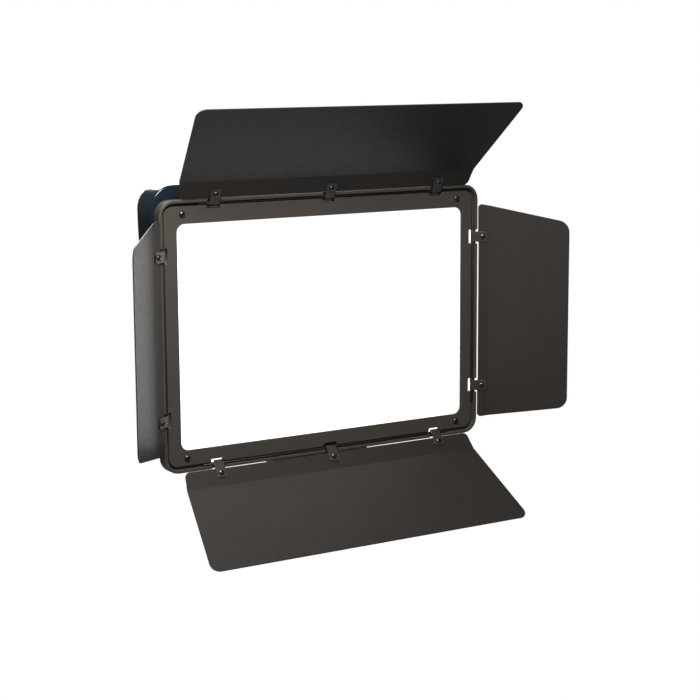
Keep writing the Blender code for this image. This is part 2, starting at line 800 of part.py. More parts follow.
def make_tilt_bolt(mats, pivot):
    """The bolt, its washers and its knob, drawn about the tilt axis."""
    outside = BRACKET_HALF + GAP
    hex_head = turned([(7.5, -outside - 5.5), (7.5, -outside)], "x", sides=6)
    bolt = add_part("tilt_bolt", hex_head, mats["steel"], pivot)
    tip = outside + 14.0
    shank = turned([(BOLT_R, -outside - 1.0), (BOLT_R, tip - 1.0), (BOLT_R - 0.8, tip)], "x", sides=ROUND)
    boolean(bolt, [shank], "UNION")
    for name, sx in (("left", -1), ("right", 1)):
        near = BARREL_HALF + GAP
        low, high = sorted((sx * near, sx * (near + WASHER_T)))
        rim = EAR_R - 2.0
        profile = [(BORE_R, low), (BORE_R, high), (rim, high), (rim, low)]
        washer = turned(profile, "x", sides=ROUND, ring=True)
        add_part(f"friction_washer_{name}", washer, mats["fibre"], pivot)
    knob = lobed_knob(17.0, 16.0, 5, BOLT_R + 0.3, 15.0)
    add_part("tilt_knob", knob, mats["knob"], pivot, (outside, 0.0, 0.0))


def lobed_knob(radius, length, lobes, bore, bore_depth):
    """A lobed clamping knob with its axis along x and a blind bore from its inner face."""
    sides = lobes * 6
    neck = radius * 0.55

    def loop(scale, height, wave=0.12):
        points = []
        for i in range(sides):
            turn = math.tau * i / sides
            r = radius * scale * (1.0 - wave * (1.0 - math.cos(lobes * turn)) / 2)
            points.append((height, r * math.cos(turn), r * math.sin(turn)))
        return points

    def circle(r, height):
        turns = [math.tau * i / sides for i in range(sides)]
        return [(height, r * math.cos(turn), r * math.sin(turn)) for turn in turns]

    return loft(
        [
            circle(bore, bore_depth),
            circle(bore, 0.0),
            circle(neck, 0.0),
            circle(neck, length * 0.28),
            loop(0.94, length * 0.3),
            loop(1.0, length * 0.42),
            loop(1.0, length * 0.85),
            loop(0.9, length),
            circle(radius * 0.5, length + 0.6),
        ]
    )


def make_receiver(mats):
    """The barrel, the neck and the socket sleeve in one casting, with a thumb screw in its side."""
    barrel = turned([(BARREL_R, -BARREL_HALF), (BARREL_R, BARREL_HALF)], "x", (0.0, TILT_Z), ROUND)
    receiver = add_part("stand_receiver", barrel, mats["cast"])
    neck = box((-15.0, -8.0, SLEEVE_H - 2.0), (15.0, 8.0, TILT_Z))
    chamfer = SLEEVE_R - 1.0
    sleeve_profile = [(chamfer, 0.0), (SLEEVE_R, 1.0), (SLEEVE_R, SLEEVE_H - 1.0), (chamfer, SLEEVE_H)]
    sleeve = turned(sleeve_profile, "z", sides=24)
    boss = turned([(7.0, -SLEEVE_R - 5.0), (7.0, 0.0)], "x", (0.0, THUMB_Z), 16)
    boolean(receiver, [neck], "UNION", "neck")
    boolean(receiver, [sleeve], "UNION", "sleeve")
    boolean(receiver, [boss], "UNION", "boss")
    bolt_bore = turned([(BORE_R, -40.0), (BORE_R, 40.0)], "x", (0.0, TILT_Z), ROUND)
    mouth = SOCKET_R + 0.8
    socket_profile = [(mouth, -1.0), (mouth, 0.4), (SOCKET_R, 1.2), (SOCKET_R, SOCKET_DEPTH)]
    socket = turned(socket_profile, "z", sides=24)
    boolean(receiver, [bolt_bore, socket], label="bores")
    thread = turned([(3.4, -30.0), (3.4, 1.5 - SOCKET_R)], "x", (0.0, THUMB_Z), SMALL)
    boolean(receiver, [thread], label="thread")
    at = (-SLEEVE_R - 5.0 - GAP, 0.0, THUMB_Z)
    thumb = add_part("thumb_screw", thumb_screw_shape(), mats["knob"], None, at)
    thumb.rotation_euler = (0.0, 0.0, math.radians(180.0))


def thumb_screw_shape():
    """A round thumb screw, its head along +x and its shank along -x."""
    shank = [(3.0, -8.5), (3.0, 0.0)]
    neck = [(4.2, 0.0), (4.2, 4.0)]
    head = [(9.0, 4.6), (10.0, 6.0), (10.0, 13.0), (8.8, 14.5)]
    return turned(shank + neck + head, "x", sides=ROUND)


# ---- Assembly ----


def make_materials():
    return {
        "powder": material("black_powder_coat", (0.045, 0.042, 0.038), 0.62, 0.2),
        "door": material("door_powder_coat", (0.04, 0.036, 0.033), 0.6, 0.2),
        "clip": material("blackened_clip", (0.035, 0.033, 0.032), 0.4, 0.7),
        "screw": material("black_screw", (0.03, 0.03, 0.03), 0.35, 0.8),
        "rod": material("black_oxide_wire", (0.05, 0.05, 0.052), 0.4, 0.8),
        "steel": material("zinc_steel", (0.55, 0.55, 0.56), 0.35, 1.0),
        "shell": material("gloss_black_shell", (0.012, 0.014, 0.02), 0.15),
        "black": material("matte_black_plastic", (0.03, 0.03, 0.032), 0.5),
        "knob": material("soft_black_plastic", (0.025, 0.025, 0.026), 0.6),
        "rocker": material("rocker_red", (0.45, 0.02, 0.02), 0.35),
        "white": material("white_reflector", (0.9, 0.9, 0.9), 0.5),
        "diffuser": material("opal_diffuser", (0.95, 0.95, 0.95), 0.4),
        "board": material("circuit_board", (0.02, 0.12, 0.05), 0.5),
        "glass": material("display_glass", (0.02, 0.03, 0.05), 0.08),
        "alloy": material("bare_aluminium", (0.6, 0.6, 0.62), 0.4, 1.0),
        "fibre": material("fibre_washer", (0.16, 0.1, 0.06), 0.8),
        "cast": material("cast_adapter", (0.03, 0.03, 0.03), 0.5, 0.4),
    }


def main():
    clear_scene()
    mats = make_materials()
    pivot = add_empty("tilt_pivot", None, (0.0, 0.0, TILT_Z))
    head = add_empty("head_frame", pivot, (0.0, -TILT_BACK, TILT_DOWN))
    sides = {}
    for side, turn in SIDE_TURN.items():
        reach = edge_distance(side) + HINGE_U
        angle = math.radians(turn)
        shift = HINGE_SHIFT[side]
        x = reach * math.sin(angle) + shift * math.cos(angle)
        z = reach * math.cos(angle) - shift * math.sin(angle)
        sides[side] = add_empty(f"hinge_axis_{side}", head, (x, HINGE_D, z), (0.0, turn, 0.0))
    make_bezel(mats["powder"], head)
    make_housing(mats["powder"], head)
    make_bezel_screws(mats["screw"], head)
    make_hinge_rods(mats["rod"], sides)
    make_light_engine(mats, head)
    make_heat_sink(mats["alloy"], head)
    make_rear_shell(mats["shell"], head)
    make_control_board(mats, head)
    make_controls(mats, head)
    make_battery_plates(mats, head)
    make_doors(mats, sides)
    make_bracket(mats["powder"], head)
    make_tilt_bolt(mats, pivot)
    make_receiver(mats)


main()
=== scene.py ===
"""The looks of an LED panel light with four barn doors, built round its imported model.

Shapes are drawn in millimetres. The head's own frame has its origin at the centre of the
bezel's front face: x to the right, y backwards into the light, z up. A door's own frame has
x along its hinge, z along its flange and -y out of its inner face, from the hinge's axis.
"""

import json
import math

import bmesh
import bpy
from mathutils import Matrix, Vector


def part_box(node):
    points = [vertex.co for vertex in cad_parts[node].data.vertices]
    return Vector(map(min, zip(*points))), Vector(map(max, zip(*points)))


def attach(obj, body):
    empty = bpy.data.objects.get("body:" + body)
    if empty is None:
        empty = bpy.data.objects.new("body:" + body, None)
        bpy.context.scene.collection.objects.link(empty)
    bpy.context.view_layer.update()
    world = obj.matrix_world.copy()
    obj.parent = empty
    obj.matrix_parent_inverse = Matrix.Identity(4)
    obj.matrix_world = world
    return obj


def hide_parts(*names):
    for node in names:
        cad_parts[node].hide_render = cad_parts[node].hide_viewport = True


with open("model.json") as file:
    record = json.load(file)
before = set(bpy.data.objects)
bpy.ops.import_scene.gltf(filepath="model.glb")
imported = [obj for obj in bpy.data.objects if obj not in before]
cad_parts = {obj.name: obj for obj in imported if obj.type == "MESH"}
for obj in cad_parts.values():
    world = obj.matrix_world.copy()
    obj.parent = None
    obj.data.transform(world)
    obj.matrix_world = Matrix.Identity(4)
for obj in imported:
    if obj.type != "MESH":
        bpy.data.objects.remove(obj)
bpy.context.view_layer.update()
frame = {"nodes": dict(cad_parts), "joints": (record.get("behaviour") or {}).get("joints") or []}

MM = 0.001
SIDES = {"top": 0.0, "right": 90.0, "bottom": 180.0, "left": -90.0}
JOINTS = {joint["name"]: joint for joint in frame["joints"]}


def node_box(node):
    """A CAD node's lowest and highest corner, in millimetres."""
    low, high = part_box(node)
    return low / MM, high / MM


def node_middle(node):
    low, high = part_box(node)
    return (low + high) / 2 / MM


# ---- The head's frame, from the bezel ----

BEZEL_LOW, BEZEL_HIGH = node_box("front_bezel")
FACE = BEZEL_HIGH - BEZEL_LOW
FACE_AT = Vector(((BEZEL_LOW.x + BEZEL_HIGH.x) / 2, BEZEL_LOW.y, (BEZEL_LOW.z + BEZEL_HIGH.z) / 2))
WORLD = Matrix.Scale(MM, 4)
HEAD = WORLD @ Matrix.Translation(FACE_AT)

# Bezel.
WINDOW = (286.4, 191.0)
WINDOW_DROP = 0.7
WINDOW_CORNER = 7.0
FACE_CORNER = 8.0
SCREW_HOLE = 1.7
SLOT_W = 13.0
SLOT_IN = 2.8

# Glowing film behind some slots: painted light that stands for light from inside showing through them. At
# the bottom it is a bar with a leg, and at the right a bar.
LEAK_DEPTH = 5.0
LEAK_T = 0.4
LEAK_H = 2.2
LEAK_LEG = 2.0
LEAK_LEG_H = 1.8
LEAK_LEG_IN = 2.8
SIDE_LEAK_AT = -0.4
SIDE_LEAK_W = 3.0

# Nicks in the bezel's edge.
NICK_R = 0.9
NICKS = (("top", 25.6), ("right", -39.2), ("right", 37.0))

# Hinges and doors.
CLIP_W = 9.4
CLIP_REACH = 13.4
CLIP_SCREW_R = 8.8
EYE_MIDDLE = 1.5
EYE_END = 345.0
CLIP_T = 0.6
ROD_R = 0.9
DOOR_T = 1.0
DOOR_MIDDLE = 0.4
FLANGE_START = 4.8
FLANGE_RELIEF = 5.6
FLANGE_CORNER = 4.0
FOLD_ROUND = 3.0
BEND = math.radians(20.0)
DOOR_CORNER = 9.0
WIDE_DOOR = (144.3, 160.5, 20.8, 85.5)  # half width at the hinge and outside, fold, leaf
TALL_DOOR = (100.0, 84.3, 14.5, 76.5)
LEAN = {"top": 25.0, "right": 36.0, "bottom": 33.0, "left": 32.5}  # each door's lean at rest

# Rear shell.
SHELL_BACK = 47.0
SHELL_FRONT = 16.4
SHELL_CORNER = 21.0
SHELL_WAIST = 4.0
SHELL_ROUND = 6.0
PANEL_INSET = 6.6
PANEL_T = 1.2
BATTERY_PLATES = ("battery_plate_left", "battery_plate_right")
LATCHES = ("battery_latch_left", "battery_latch_right")
DIALS = ("brightness", "colour")
PANEL_SCREWS = (
    (-142.0, 110.0), (142.0, 110.0), (-142.0, -85.0),
    (142.0, -85.0), (-50.0, -85.0), (50.0, -85.0),
)
PRINT_T = 0.08  # how far a printed mark stands out
LIT_BACK = -3.2  # the lit bars of the display, behind the panel's back face
LIT_FRONT = -3.05
ROCKER_TIP = math.radians(9.0)
OPENING_HALF = 148.0
OPENING_TOP = 99.0
OPENING_BOTTOM = -92.0
OPENING_CORNER = 6.0
VENT_T = 3.0
VENT_PITCH = 7.5
RAIL_FLOOR = 1.8

# Stand adapter.
BARREL_R = 10.0
BOLT_BORE = 4.4
SLEEVE_R = 12.5
SLEEVE_H = 30.0
SOCKET_R = 8.2
SOCKET_DEPTH = 26.0
BOSS_R = 7.0
THREAD_R = 3.4


BACK = HEAD @ Matrix.Translation((0.0, SHELL_BACK, 0.0)) @ Matrix.Rotation(math.pi, 4, "Z")


# ---- Shapes, as bmeshes in millimetres ----


def loft(loops, ring=False):
    """Skin over loops with the same number of points. A ring closes on itself, and any other is capped."""
    shape = bmesh.new()
    rows = [[shape.verts.new(point) for point in loop] for loop in loops]
    pairs = list(zip(rows, rows[1:]))
    if ring:
        pairs.append((rows[-1], rows[0]))
    for first, second in pairs:
        for i in range(len(first)):
            shape.faces.new((first[i - 1], first[i], second[i], second[i - 1]))
    if not ring:
        shape.faces.new(rows[0])
        shape.faces.new(rows[-1])
    return shape


def place(a, b, h, axis):
    return {"x": (h, a, b), "y": (a, h, b), "z": (a, b, h)}[axis]


def turned(profile, axis, at=(0.0, 0.0), sides=48, ring=False, wave=None):
    """A profile of (radius, height) pairs, turned about a line. A wave changes a radius by its turn."""
    loops = []
    for radius, height in profile:
        loop = []
        for i in range(sides):
            turn = math.tau * i / sides
            r = radius + (wave(turn, radius, height) if wave else 0.0)
            loop.append(place(at[0] + r * math.cos(turn), at[1] + r * math.sin(turn), height, axis))
        loops.append(loop)
    return loft(loops, ring)


def arc(centre, radius, start, end, steps):
    angles = [math.radians(start + (end - start) * i / steps) for i in range(steps + 1)]
    return [(centre[0] + radius * math.cos(a), centre[1] + radius * math.sin(a)) for a in angles]


def circle(at, radius, sides=24):
    return arc(at, radius, 0.0, 360.0 * (sides - 1) / sides, sides - 1)


def rounded(half_w, top, bottom, radius, steps=8, x=0.0):
    """A rectangle with round corners, from its top right corner round to the right side."""
    corners = (
        ((x + half_w - radius, top - radius), 0),
        ((x + radius - half_w, top - radius), 90),
        ((x + radius - half_w, bottom + radius), 180),
        ((x + half_w - radius, bottom + radius), 270),
    )
    return [p for centre, start in corners for p in arc(centre, radius, start, start + 90, steps)]


def slab(at, width, height, radius):
    """A rounded rectangle about a point."""
    return rounded(width / 2, at[1] + height / 2, at[1] - height / 2, radius, 6, at[0])


def plate(outline, holes, low, high):
    """A flat plate with holes, its outline in x and y, from low to high in z."""
    shape = bmesh.new()
    for points in (outline, *holes):
        ring = [shape.verts.new((a, b, low)) for a, b in points]
        for i in range(len(ring)):
            shape.edges.new((ring[i - 1], ring[i]))
    bmesh.ops.triangle_fill(shape, use_beauty=True, use_dissolve=False, edges=shape.edges[:])
    made = bmesh.ops.extrude_face_region(shape, geom=shape.faces[:])
    lifted = [item for item in made["geom"] if isinstance(item, bmesh.types.BMVert)]
    bmesh.ops.translate(shape, verts=lifted, vec=(0.0, 0.0, high - low))
    return shape


def upright(shape):
    """Turns a plate from x, y and z to x, z and y, as the head's and the doors' faces lie."""
    for vert in shape.verts:
        vert.co = Vector((vert.co.x, vert.co.z, vert.co.y))
    return shape


def bent(shape, cuts, rule):
    """Cuts a plate across at each y, then moves its points by a rule of (x, y, z)."""
    for y in cuts:
        everything = shape.verts[:] + shape.edges[:] + shape.faces[:]
        bmesh.ops.bisect_plane(shape, geom=everything, dist=1e-4, plane_co=(0, y, 0), plane_no=(0, 1, 0))
    for vert in shape.verts:
        vert.co = Vector(rule(*vert.co))
    return shape


def joined(shapes):
    mesh = bpy.data.meshes.new("joined")
    whole = bmesh.new()
    for shape in shapes:
        shape.to_mesh(mesh)
        shape.free()
        whole.from_mesh(mesh)
    bpy.data.meshes.remove(mesh)
    return whole


def block(low, high):
    outline = [(low[0], low[1]), (high[0], low[1]), (high[0], high[1]), (low[0], high[1])]
    return loft([[(x, y, z) for x, y in outline] for z in (low[2], high[2])])


# ---- Pieces ----


def mesh_of(name, shape, matrix, smooth):
    """A mesh in metres, with its faces turned outwards and its hard edges marked."""
    bmesh.ops.transform(shape, matrix=matrix, verts=shape.verts[:])
    bmesh.ops.recalc_face_normals(shape, faces=shape.faces[:])
    mesh = bpy.data.meshes.new(name)
    shape.to_mesh(mesh)
    shape.free()
    mesh.shade_smooth()
    mesh.set_sharp_from_angle(angle=math.radians(smooth))
    return mesh


def round_edges(obj, width, segments=3, angle=40.0):
    """Small rounds along the hard edges, in millimetres."""
    bevel = obj.modifiers.new("Rounds", "BEVEL")
    bevel.width = width * MM
    bevel.segments = segments
    bevel.limit_method = "ANGLE"
    bevel.angle_limit = math.radians(angle)
    bevel.use_clamp_overlap = True
    weighted = obj.modifiers.new("Normals", "WEIGHTED_NORMAL")
    weighted.keep_sharp = False


def dress(obj, mat, body, nodes=()):
    """Gives a piece its material, its body and the CAD nodes that it stands for."""
    obj.data.materials.clear()
    obj.data.materials.append(mat)
    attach(obj, body)
    if nodes:
        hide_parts(*nodes)
    return obj


def add_piece(name, shape, look, body, matrix=HEAD, nodes=(), bevel=0.0, segments=3, smooth=30.0):
    mat, slot = look
    obj = bpy.data.objects.new(name, mesh_of(name, shape, matrix, smooth))
    bpy.context.scene.collection.objects.link(obj)
    if bevel:
        round_edges(obj, bevel, segments)
    return dress(obj, mat, body, nodes)


def applied(obj):
    """Replaces an object's mesh with the mesh that its modifiers give."""
    graph = bpy.context.evaluated_depsgraph_get()
    mesh = bpy.data.meshes.new_from_object(obj.evaluated_get(graph))
    obj.modifiers.clear()
    obj.data = mesh
    return obj


def carve(obj, shape, matrix, operation="DIFFERENCE"):
    """Cuts a shape from an object for good, or welds it on."""
    tool = bpy.data.objects.new("tool", mesh_of("tool", shape, matrix, 30.0))
    bpy.context.scene.collection.objects.link(tool)
    modifier = obj.modifiers.new("Carve", "BOOLEAN")
    modifier.operation = operation
    modifier.solver = "EXACT"
    modifier.object = tool
    applied(obj)
    bpy.data.objects.remove(tool)
    return obj


def finish_node(name, look, bevel=0.0, segments=2):
    """A CAD node that stays: its material, and rounds along its edges."""
    node = frame["nodes"][name]
    node.data.materials.clear()
    node.data.materials.append(look[0])
    if bevel:
        weld = node.modifiers.new("Weld", "WELD")
        weld.merge_threshold = 0.00001
        flat = node.modifiers.new("Flat", "DECIMATE")
        flat.decimate_type = "DISSOLVE"
        flat.angle_limit = math.radians(0.5)
        round_edges(node, bevel, segments)


# ---- Materials ----


def shader_of(name):
    mat = bpy.data.materials.new(name)
    mat.use_nodes = True
    return mat, mat.node_tree, mat.node_tree.nodes["Principled BSDF"]


def noise(tree, scale, detail=3.0, stretch=(1.0, 1.0, 1.0)):
    """Noise over the object's own coordinates: scale is in features for each metre."""
    where = tree.nodes.new("ShaderNodeTexCoord")
    mapping = tree.nodes.new("ShaderNodeMapping")
    mapping.inputs["Scale"].default_value = stretch
    tree.links.new(where.outputs["Object"], mapping.inputs["Vector"])
    texture = tree.nodes.new("ShaderNodeTexNoise")
    texture.inputs["Scale"].default_value = scale
    texture.inputs["Detail"].default_value = detail
    tree.links.new(mapping.outputs["Vector"], texture.inputs["Vector"])
    return texture.outputs["Fac"]


def spread(tree, value, low, high):
    """Carries noise, which lies round 0.5, to a range."""
    remap = tree.nodes.new("ShaderNodeMapRange")
    remap.inputs["From Min"].default_value = 0.3
    remap.inputs["From Max"].default_value = 0.7
    remap.inputs["To Min"].default_value = low
    remap.inputs["To Max"].default_value = high
    tree.links.new(value, remap.inputs["Value"])
    return remap.outputs["Result"]


def blend_colours(tree, share, first, second):
    mix = tree.nodes.new("ShaderNodeMix")
    mix.data_type = "RGBA"
    mix.inputs["A"].default_value = (*first, 1.0)
    mix.inputs["B"].default_value = (*second, 1.0)
    tree.links.new(share, mix.inputs["Factor"])
    return mix.outputs["Result"]


def bump(tree, shader, height, depth, strength=1.0, under=None):
    node = tree.nodes.new("ShaderNodeBump")
    node.inputs["Strength"].default_value = strength
    node.inputs["Distance"].default_value = depth * MM
    tree.links.new(height, node.inputs["Height"])
    if under:
        tree.links.new(under, node.inputs["Normal"])
    tree.links.new(node.outputs["Normal"], shader.inputs["Normal"])
    return node.outputs["Normal"]


def coated(name, colour, tint, rough, grain, depth, patch=22.0, metallic=0.0, specular=0.5):
    """A surface with fine grain, a slow drift between two colours, and roughness that varies."""
    mat, tree, shader = shader_of(name)
    drift = spread(tree, noise(tree, patch, 4.0), 0.0, 1.0)
    tree.links.new(blend_colours(tree, drift, colour, tint), shader.inputs["Base Color"])
    tree.links.new(spread(tree, noise(tree, grain * 0.15, 3.0), *rough), shader.inputs["Roughness"])
    shader.inputs["Metallic"].default_value = metallic
    shader.inputs["Specular IOR Level"].default_value = specular
    bump(tree, shader, noise(tree, grain, 4.0), depth)
    return mat


def drawn_metal(name, colour, rough, stretch, metallic=1.0):
    """Metal with fine lines along one direction."""
    mat, tree, shader = shader_of(name)
    lines = noise(tree, 900.0, 5.0, stretch)
    darker = tuple(value * 0.8 for value in colour)
    drift = spread(tree, lines, 0.0, 1.0)
    tree.links.new(blend_colours(tree, drift, darker, colour), shader.inputs["Base Color"])
    tree.links.new(spread(tree, lines, *rough), shader.inputs["Roughness"])
    shader.inputs["Metallic"].default_value = metallic
    bump(tree, shader, lines, 0.01)
    return mat


def lit(name, colour, strength, soft):
    """An opal surface that glows, with a faint fine texture."""
    mat, tree, shader = shader_of(name)
    shader.inputs["Base Color"].default_value = (0.92, 0.92, 0.91, 1.0)
    tree.links.new(spread(tree, noise(tree, 500.0), *soft), shader.inputs["Roughness"])
    shader.inputs["Emission Color"].default_value = (*colour, 1.0)
    shader.inputs["Emission Strength"].default_value = strength
    bump(tree, shader, noise(tree, 1800.0), 0.01)
    return mat


def circuit(name):
    """Green solder mask with darker tracks beneath it."""
    mat, tree, shader = shader_of(name)
    where = tree.nodes.new("ShaderNodeTexCoord")
    cells = tree.nodes.new("ShaderNodeTexVoronoi")
    cells.distance = "CHEBYCHEV"
    cells.feature = "DISTANCE_TO_EDGE"
    cells.inputs["Scale"].default_value = 260.0
    tree.links.new(where.outputs["Object"], cells.inputs["Vector"])
    edge = tree.nodes.new("ShaderNodeMapRange")
    edge.inputs["From Max"].default_value = 0.12
    tree.links.new(cells.outputs["Distance"], edge.inputs["Value"])
    mask = blend_colours(tree, edge.outputs["Result"], (0.03, 0.17, 0.07), (0.012, 0.09, 0.04))
    tree.links.new(mask, shader.inputs["Base Color"])
    tree.links.new(spread(tree, noise(tree, 900.0), 0.3, 0.45), shader.inputs["Roughness"])
    bump(tree, shader, edge.outputs["Result"], 0.03)
    return mat


def gauze(name):
    """Black woven mesh: two sets of threads crossing at right angles."""
    mat, tree, shader = shader_of(name)
    shader.inputs["Base Color"].default_value = (0.012, 0.012, 0.013, 1.0)
    where = tree.nodes.new("ShaderNodeTexCoord")
    heights = []
    for direction in ("X", "Z"):
        threads = tree.nodes.new("ShaderNodeTexWave")
        threads.bands_direction = direction
        threads.inputs["Scale"].default_value = 320.0
        tree.links.new(where.outputs["Object"], threads.inputs["Vector"])
        heights.append(threads.outputs["Fac"])
    cross = tree.nodes.new("ShaderNodeMath")
    cross.operation = "MAXIMUM"
    tree.links.new(heights[0], cross.inputs[0])
    tree.links.new(heights[1], cross.inputs[1])
    tree.links.new(spread(tree, cross.outputs["Value"], 0.4, 0.7), shader.inputs["Roughness"])
    bump(tree, shader, cross.outputs["Value"], 0.2)
    return mat


def clear(name, colour, rough):
    mat, tree, shader = shader_of(name)
    shader.inputs["Base Color"].default_value = (*colour, 1.0)
    shader.inputs["Transmission Weight"].default_value = 1.0
    shader.inputs["IOR"].default_value = 1.49
    tree.links.new(spread(tree, noise(tree, 120.0), *rough), shader.inputs["Roughness"])
    return mat


def make_looks():
    """Each look is a material and the record's slot that it stands for."""
    powder = coated("powder_coat", (0.058, 0.052, 0.046), (0.052, 0.047, 0.042), (0.42, 0.54), 2300.0, 0.035)
    door = coated(
        "door_coat", (0.026, 0.022, 0.020), (0.022, 0.020, 0.018), (0.4, 0.52),
        2300.0, 0.035, 16.0, specular=0.28,
    )
    # The shell's blue-black is partly its own tint and partly painted reflection: the blue stands in for the
    # blue reflection on its front face.
    gloss = coated("gloss_shell", (0.008, 0.014, 0.026), (0.009, 0.016, 0.028), (0.1, 0.18), 900.0, 0.012)
    panel = coated("textured_panel", (0.020, 0.021, 0.023), (0.016, 0.017, 0.019), (0.4, 0.55), 1300.0, 0.06)
    matte = coated("moulded_black", (0.030, 0.030, 0.032), (0.024, 0.024, 0.026), (0.42, 0.55), 1500.0, 0.03)
    soft = coated("soft_black", (0.026, 0.026, 0.027), (0.021, 0.021, 0.022), (0.55, 0.7), 1900.0, 0.03)
    red = coated("rocker_red", (0.42, 0.022, 0.018), (0.36, 0.018, 0.016), (0.22, 0.34), 1200.0, 0.015)
    white = coated("white_reflector", (0.86, 0.86, 0.85), (0.82, 0.82, 0.81), (0.45, 0.6), 1600.0, 0.02)
    fibre = coated(
        "fibre_washer", (0.17, 0.105, 0.06), (0.13, 0.08, 0.045), (0.7, 0.85), 1400.0, 0.06, 180.0
    )
    cast = coated(
        "cast_alloy", (0.036, 0.036, 0.037), (0.030, 0.030, 0.031), (0.38, 0.52), 1100.0, 0.06, 60.0, 0.3
    )
    ground = coated("display_ground", (0.008, 0.012, 0.016), (0.006, 0.009, 0.012), (0.4, 0.5), 900.0, 0.01)
    ink = coated("printed_white", (0.62, 0.62, 0.6), (0.55, 0.55, 0.53), (0.5, 0.6), 1500.0, 0.01)
    clip = drawn_metal("black_clip", (0.15, 0.145, 0.14), (0.24, 0.36), (1, 1, 8), 0.85)
    screws = drawn_metal("black_screw", (0.10, 0.10, 0.105), (0.26, 0.38), (1, 1, 1), 0.95)
    aluminium = drawn_metal("aluminium", (0.66, 0.66, 0.68), (0.3, 0.5), (1, 1, 0.1))
    return {
        "powder": (powder, "powder_coat"),
        "door": (door, "door_coat"),
        "clip": (clip, "clip_metal"),
        "screw": (screws, "screw_metal"),
        "rod": (drawn_metal("black_wire", (0.06, 0.058, 0.056), (0.3, 0.45), (1, 6, 1), 0.8), "rod_steel"),
        "zinc": (drawn_metal("zinc_steel", (0.6, 0.6, 0.6), (0.25, 0.4), (8, 1, 1)), "zinc_steel"),
        "gloss": (gloss, "gloss_shell"),
        "panel": (panel, "gloss_shell"),
        "gauze": (gauze("vent_gauze"), "matte_plastic"),
        "ground": (ground, "matte_plastic"),
        "matte": (matte, "matte_plastic"),
        "soft": (soft, "knob_plastic"),
        "red": (red, "rocker_red"),
        "white": (white, "white_reflector"),
        # Painted light: the glowing film behind some slots stands for light from inside showing through
        # them.
        "glow": (lit("leaked_light", (1.0, 0.99, 0.97), 1.3, (0.4, 0.6)), "white_reflector"),
        "window": (lit("opal_diffuser", (1.0, 1.0, 1.0), 0.97, (0.35, 0.5)), "opal_diffuser"),
        "board": (circuit("circuit_board"), "circuit_board"),
        "glass": (clear("display_glass", (0.35, 0.38, 0.42), (0.02, 0.06)), "display_glass"),
        "segment": (lit("display_segment", (0.55, 0.85, 1.0), 2.0, (0.3, 0.4)), "display_glass"),
        "print": (ink, "matte_plastic"),
        "aluminium": (aluminium, "bare_aluminium"),
        "brass": (drawn_metal("contact_brass", (0.75, 0.52, 0.22), (0.2, 0.35), (1, 1, 0.2)), "zinc_steel"),
        "fibre": (fibre, "fibre"),
        "cast": (cast, "cast_alloy"),
    }


LOOKS = make_looks()


# ---- Front ----


def clip_places(side):
    """Where each clip of a side lies along its hinge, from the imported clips."""
    count = sum(name.startswith(f"hinge_clip_{side}_") for name in frame["nodes"])
    along = side_frame(side).inverted()
    middles = [node_middle(f"hinge_clip_{side}_{i + 1}") * MM for i in range(count)]
    return [(along @ middle).x for middle in middles]


def side_frame(side):
    """The frame of a hinge: x along it, y backwards, z outwards, in millimetres, to the world."""
    hinge = JOINTS[f"door_{side}_hinge"]
    turn = Matrix.Rotation(math.radians(SIDES[side]), 4, "Y")
    return Matrix.Translation(hinge["pos_m"]) @ turn @ WORLD


def hinge_at(side):
    """The hinge's distance outside the bezel's edge, and its depth behind the bezel's face."""
    inverse = HEAD.inverted() @ Vector(JOINTS[f"door_{side}_hinge"]["pos_m"])
    edge = FACE.z / 2 if side in ("top", "bottom") else FACE.x / 2
    return math.hypot(inverse.x, inverse.z) - edge, inverse.y


def door_frame(side):
    """A door's own frame, in which its flange stands straight out along z."""
    return side_frame(side) @ Matrix.Rotation(math.radians(LEAN[side]), 4, "X")


def side_shift(side):
    """How far the middle of a side's clips lies from the middle of the bezel's side."""
    places = clip_places(side)
    return sum(places) / len(places)


def bezel_outline():
    """The bezel's edge, with a slot at each clip and a few nicks. It runs clockwise from the top side."""
    outline = []
    for side, turn in SIDES.items():
        half = (FACE.x if side in ("top", "bottom") else FACE.z) / 2
        edge = (FACE.z if side in ("top", "bottom") else FACE.x) / 2
        run = []
        for t in clip_places(side):
            near = t - SLOT_W / 2
            far = near + SLOT_W
            inner = edge - SLOT_IN
            run.append(
                [(near, edge)]
                + arc((near + 1.0, inner + 1.0), 1.0, 180, 270, 4)
                + arc((far - 1.0, inner + 1.0), 1.0, 270, 360, 4)
                + [(far, edge)]
            )
        for where, t in NICKS:
            if where == side:
                run.append(arc((t, edge), NICK_R, 180, 360, 8))
        run.sort(key=lambda points: points[0][0])
        corner = arc((half - FACE_CORNER, edge - FACE_CORNER), FACE_CORNER, 90, 0, 8)
        points = [point for stretch in run for point in stretch] + corner
        c, s = math.cos(math.radians(turn)), math.sin(math.radians(turn))
        outline += [(t * c + u * s, u * c - t * s) for t, u in points]
    return outline


def bezel_screw_places():
    names = [name for name in frame["nodes"] if name.startswith("bezel_screw_")]
    places = {}
    for name in sorted(names):
        middle = HEAD.inverted() @ (node_middle(name) * MM)
        places[name] = (middle.x, middle.z)
    return places


def make_bezel():
    half_w, half_h = WINDOW[0] / 2, WINDOW[1] / 2
    window = rounded(half_w, half_h - WINDOW_DROP, -half_h - WINDOW_DROP, WINDOW_CORNER, 10)
    holes = [window] + [circle(at, SCREW_HOLE) for at in bezel_screw_places().values()]
    shape = upright(plate(bezel_outline(), holes, 0.0, FACE.y))
    add_piece("bezel", shape, LOOKS["powder"], "head", nodes=["front_bezel"], bevel=0.35)


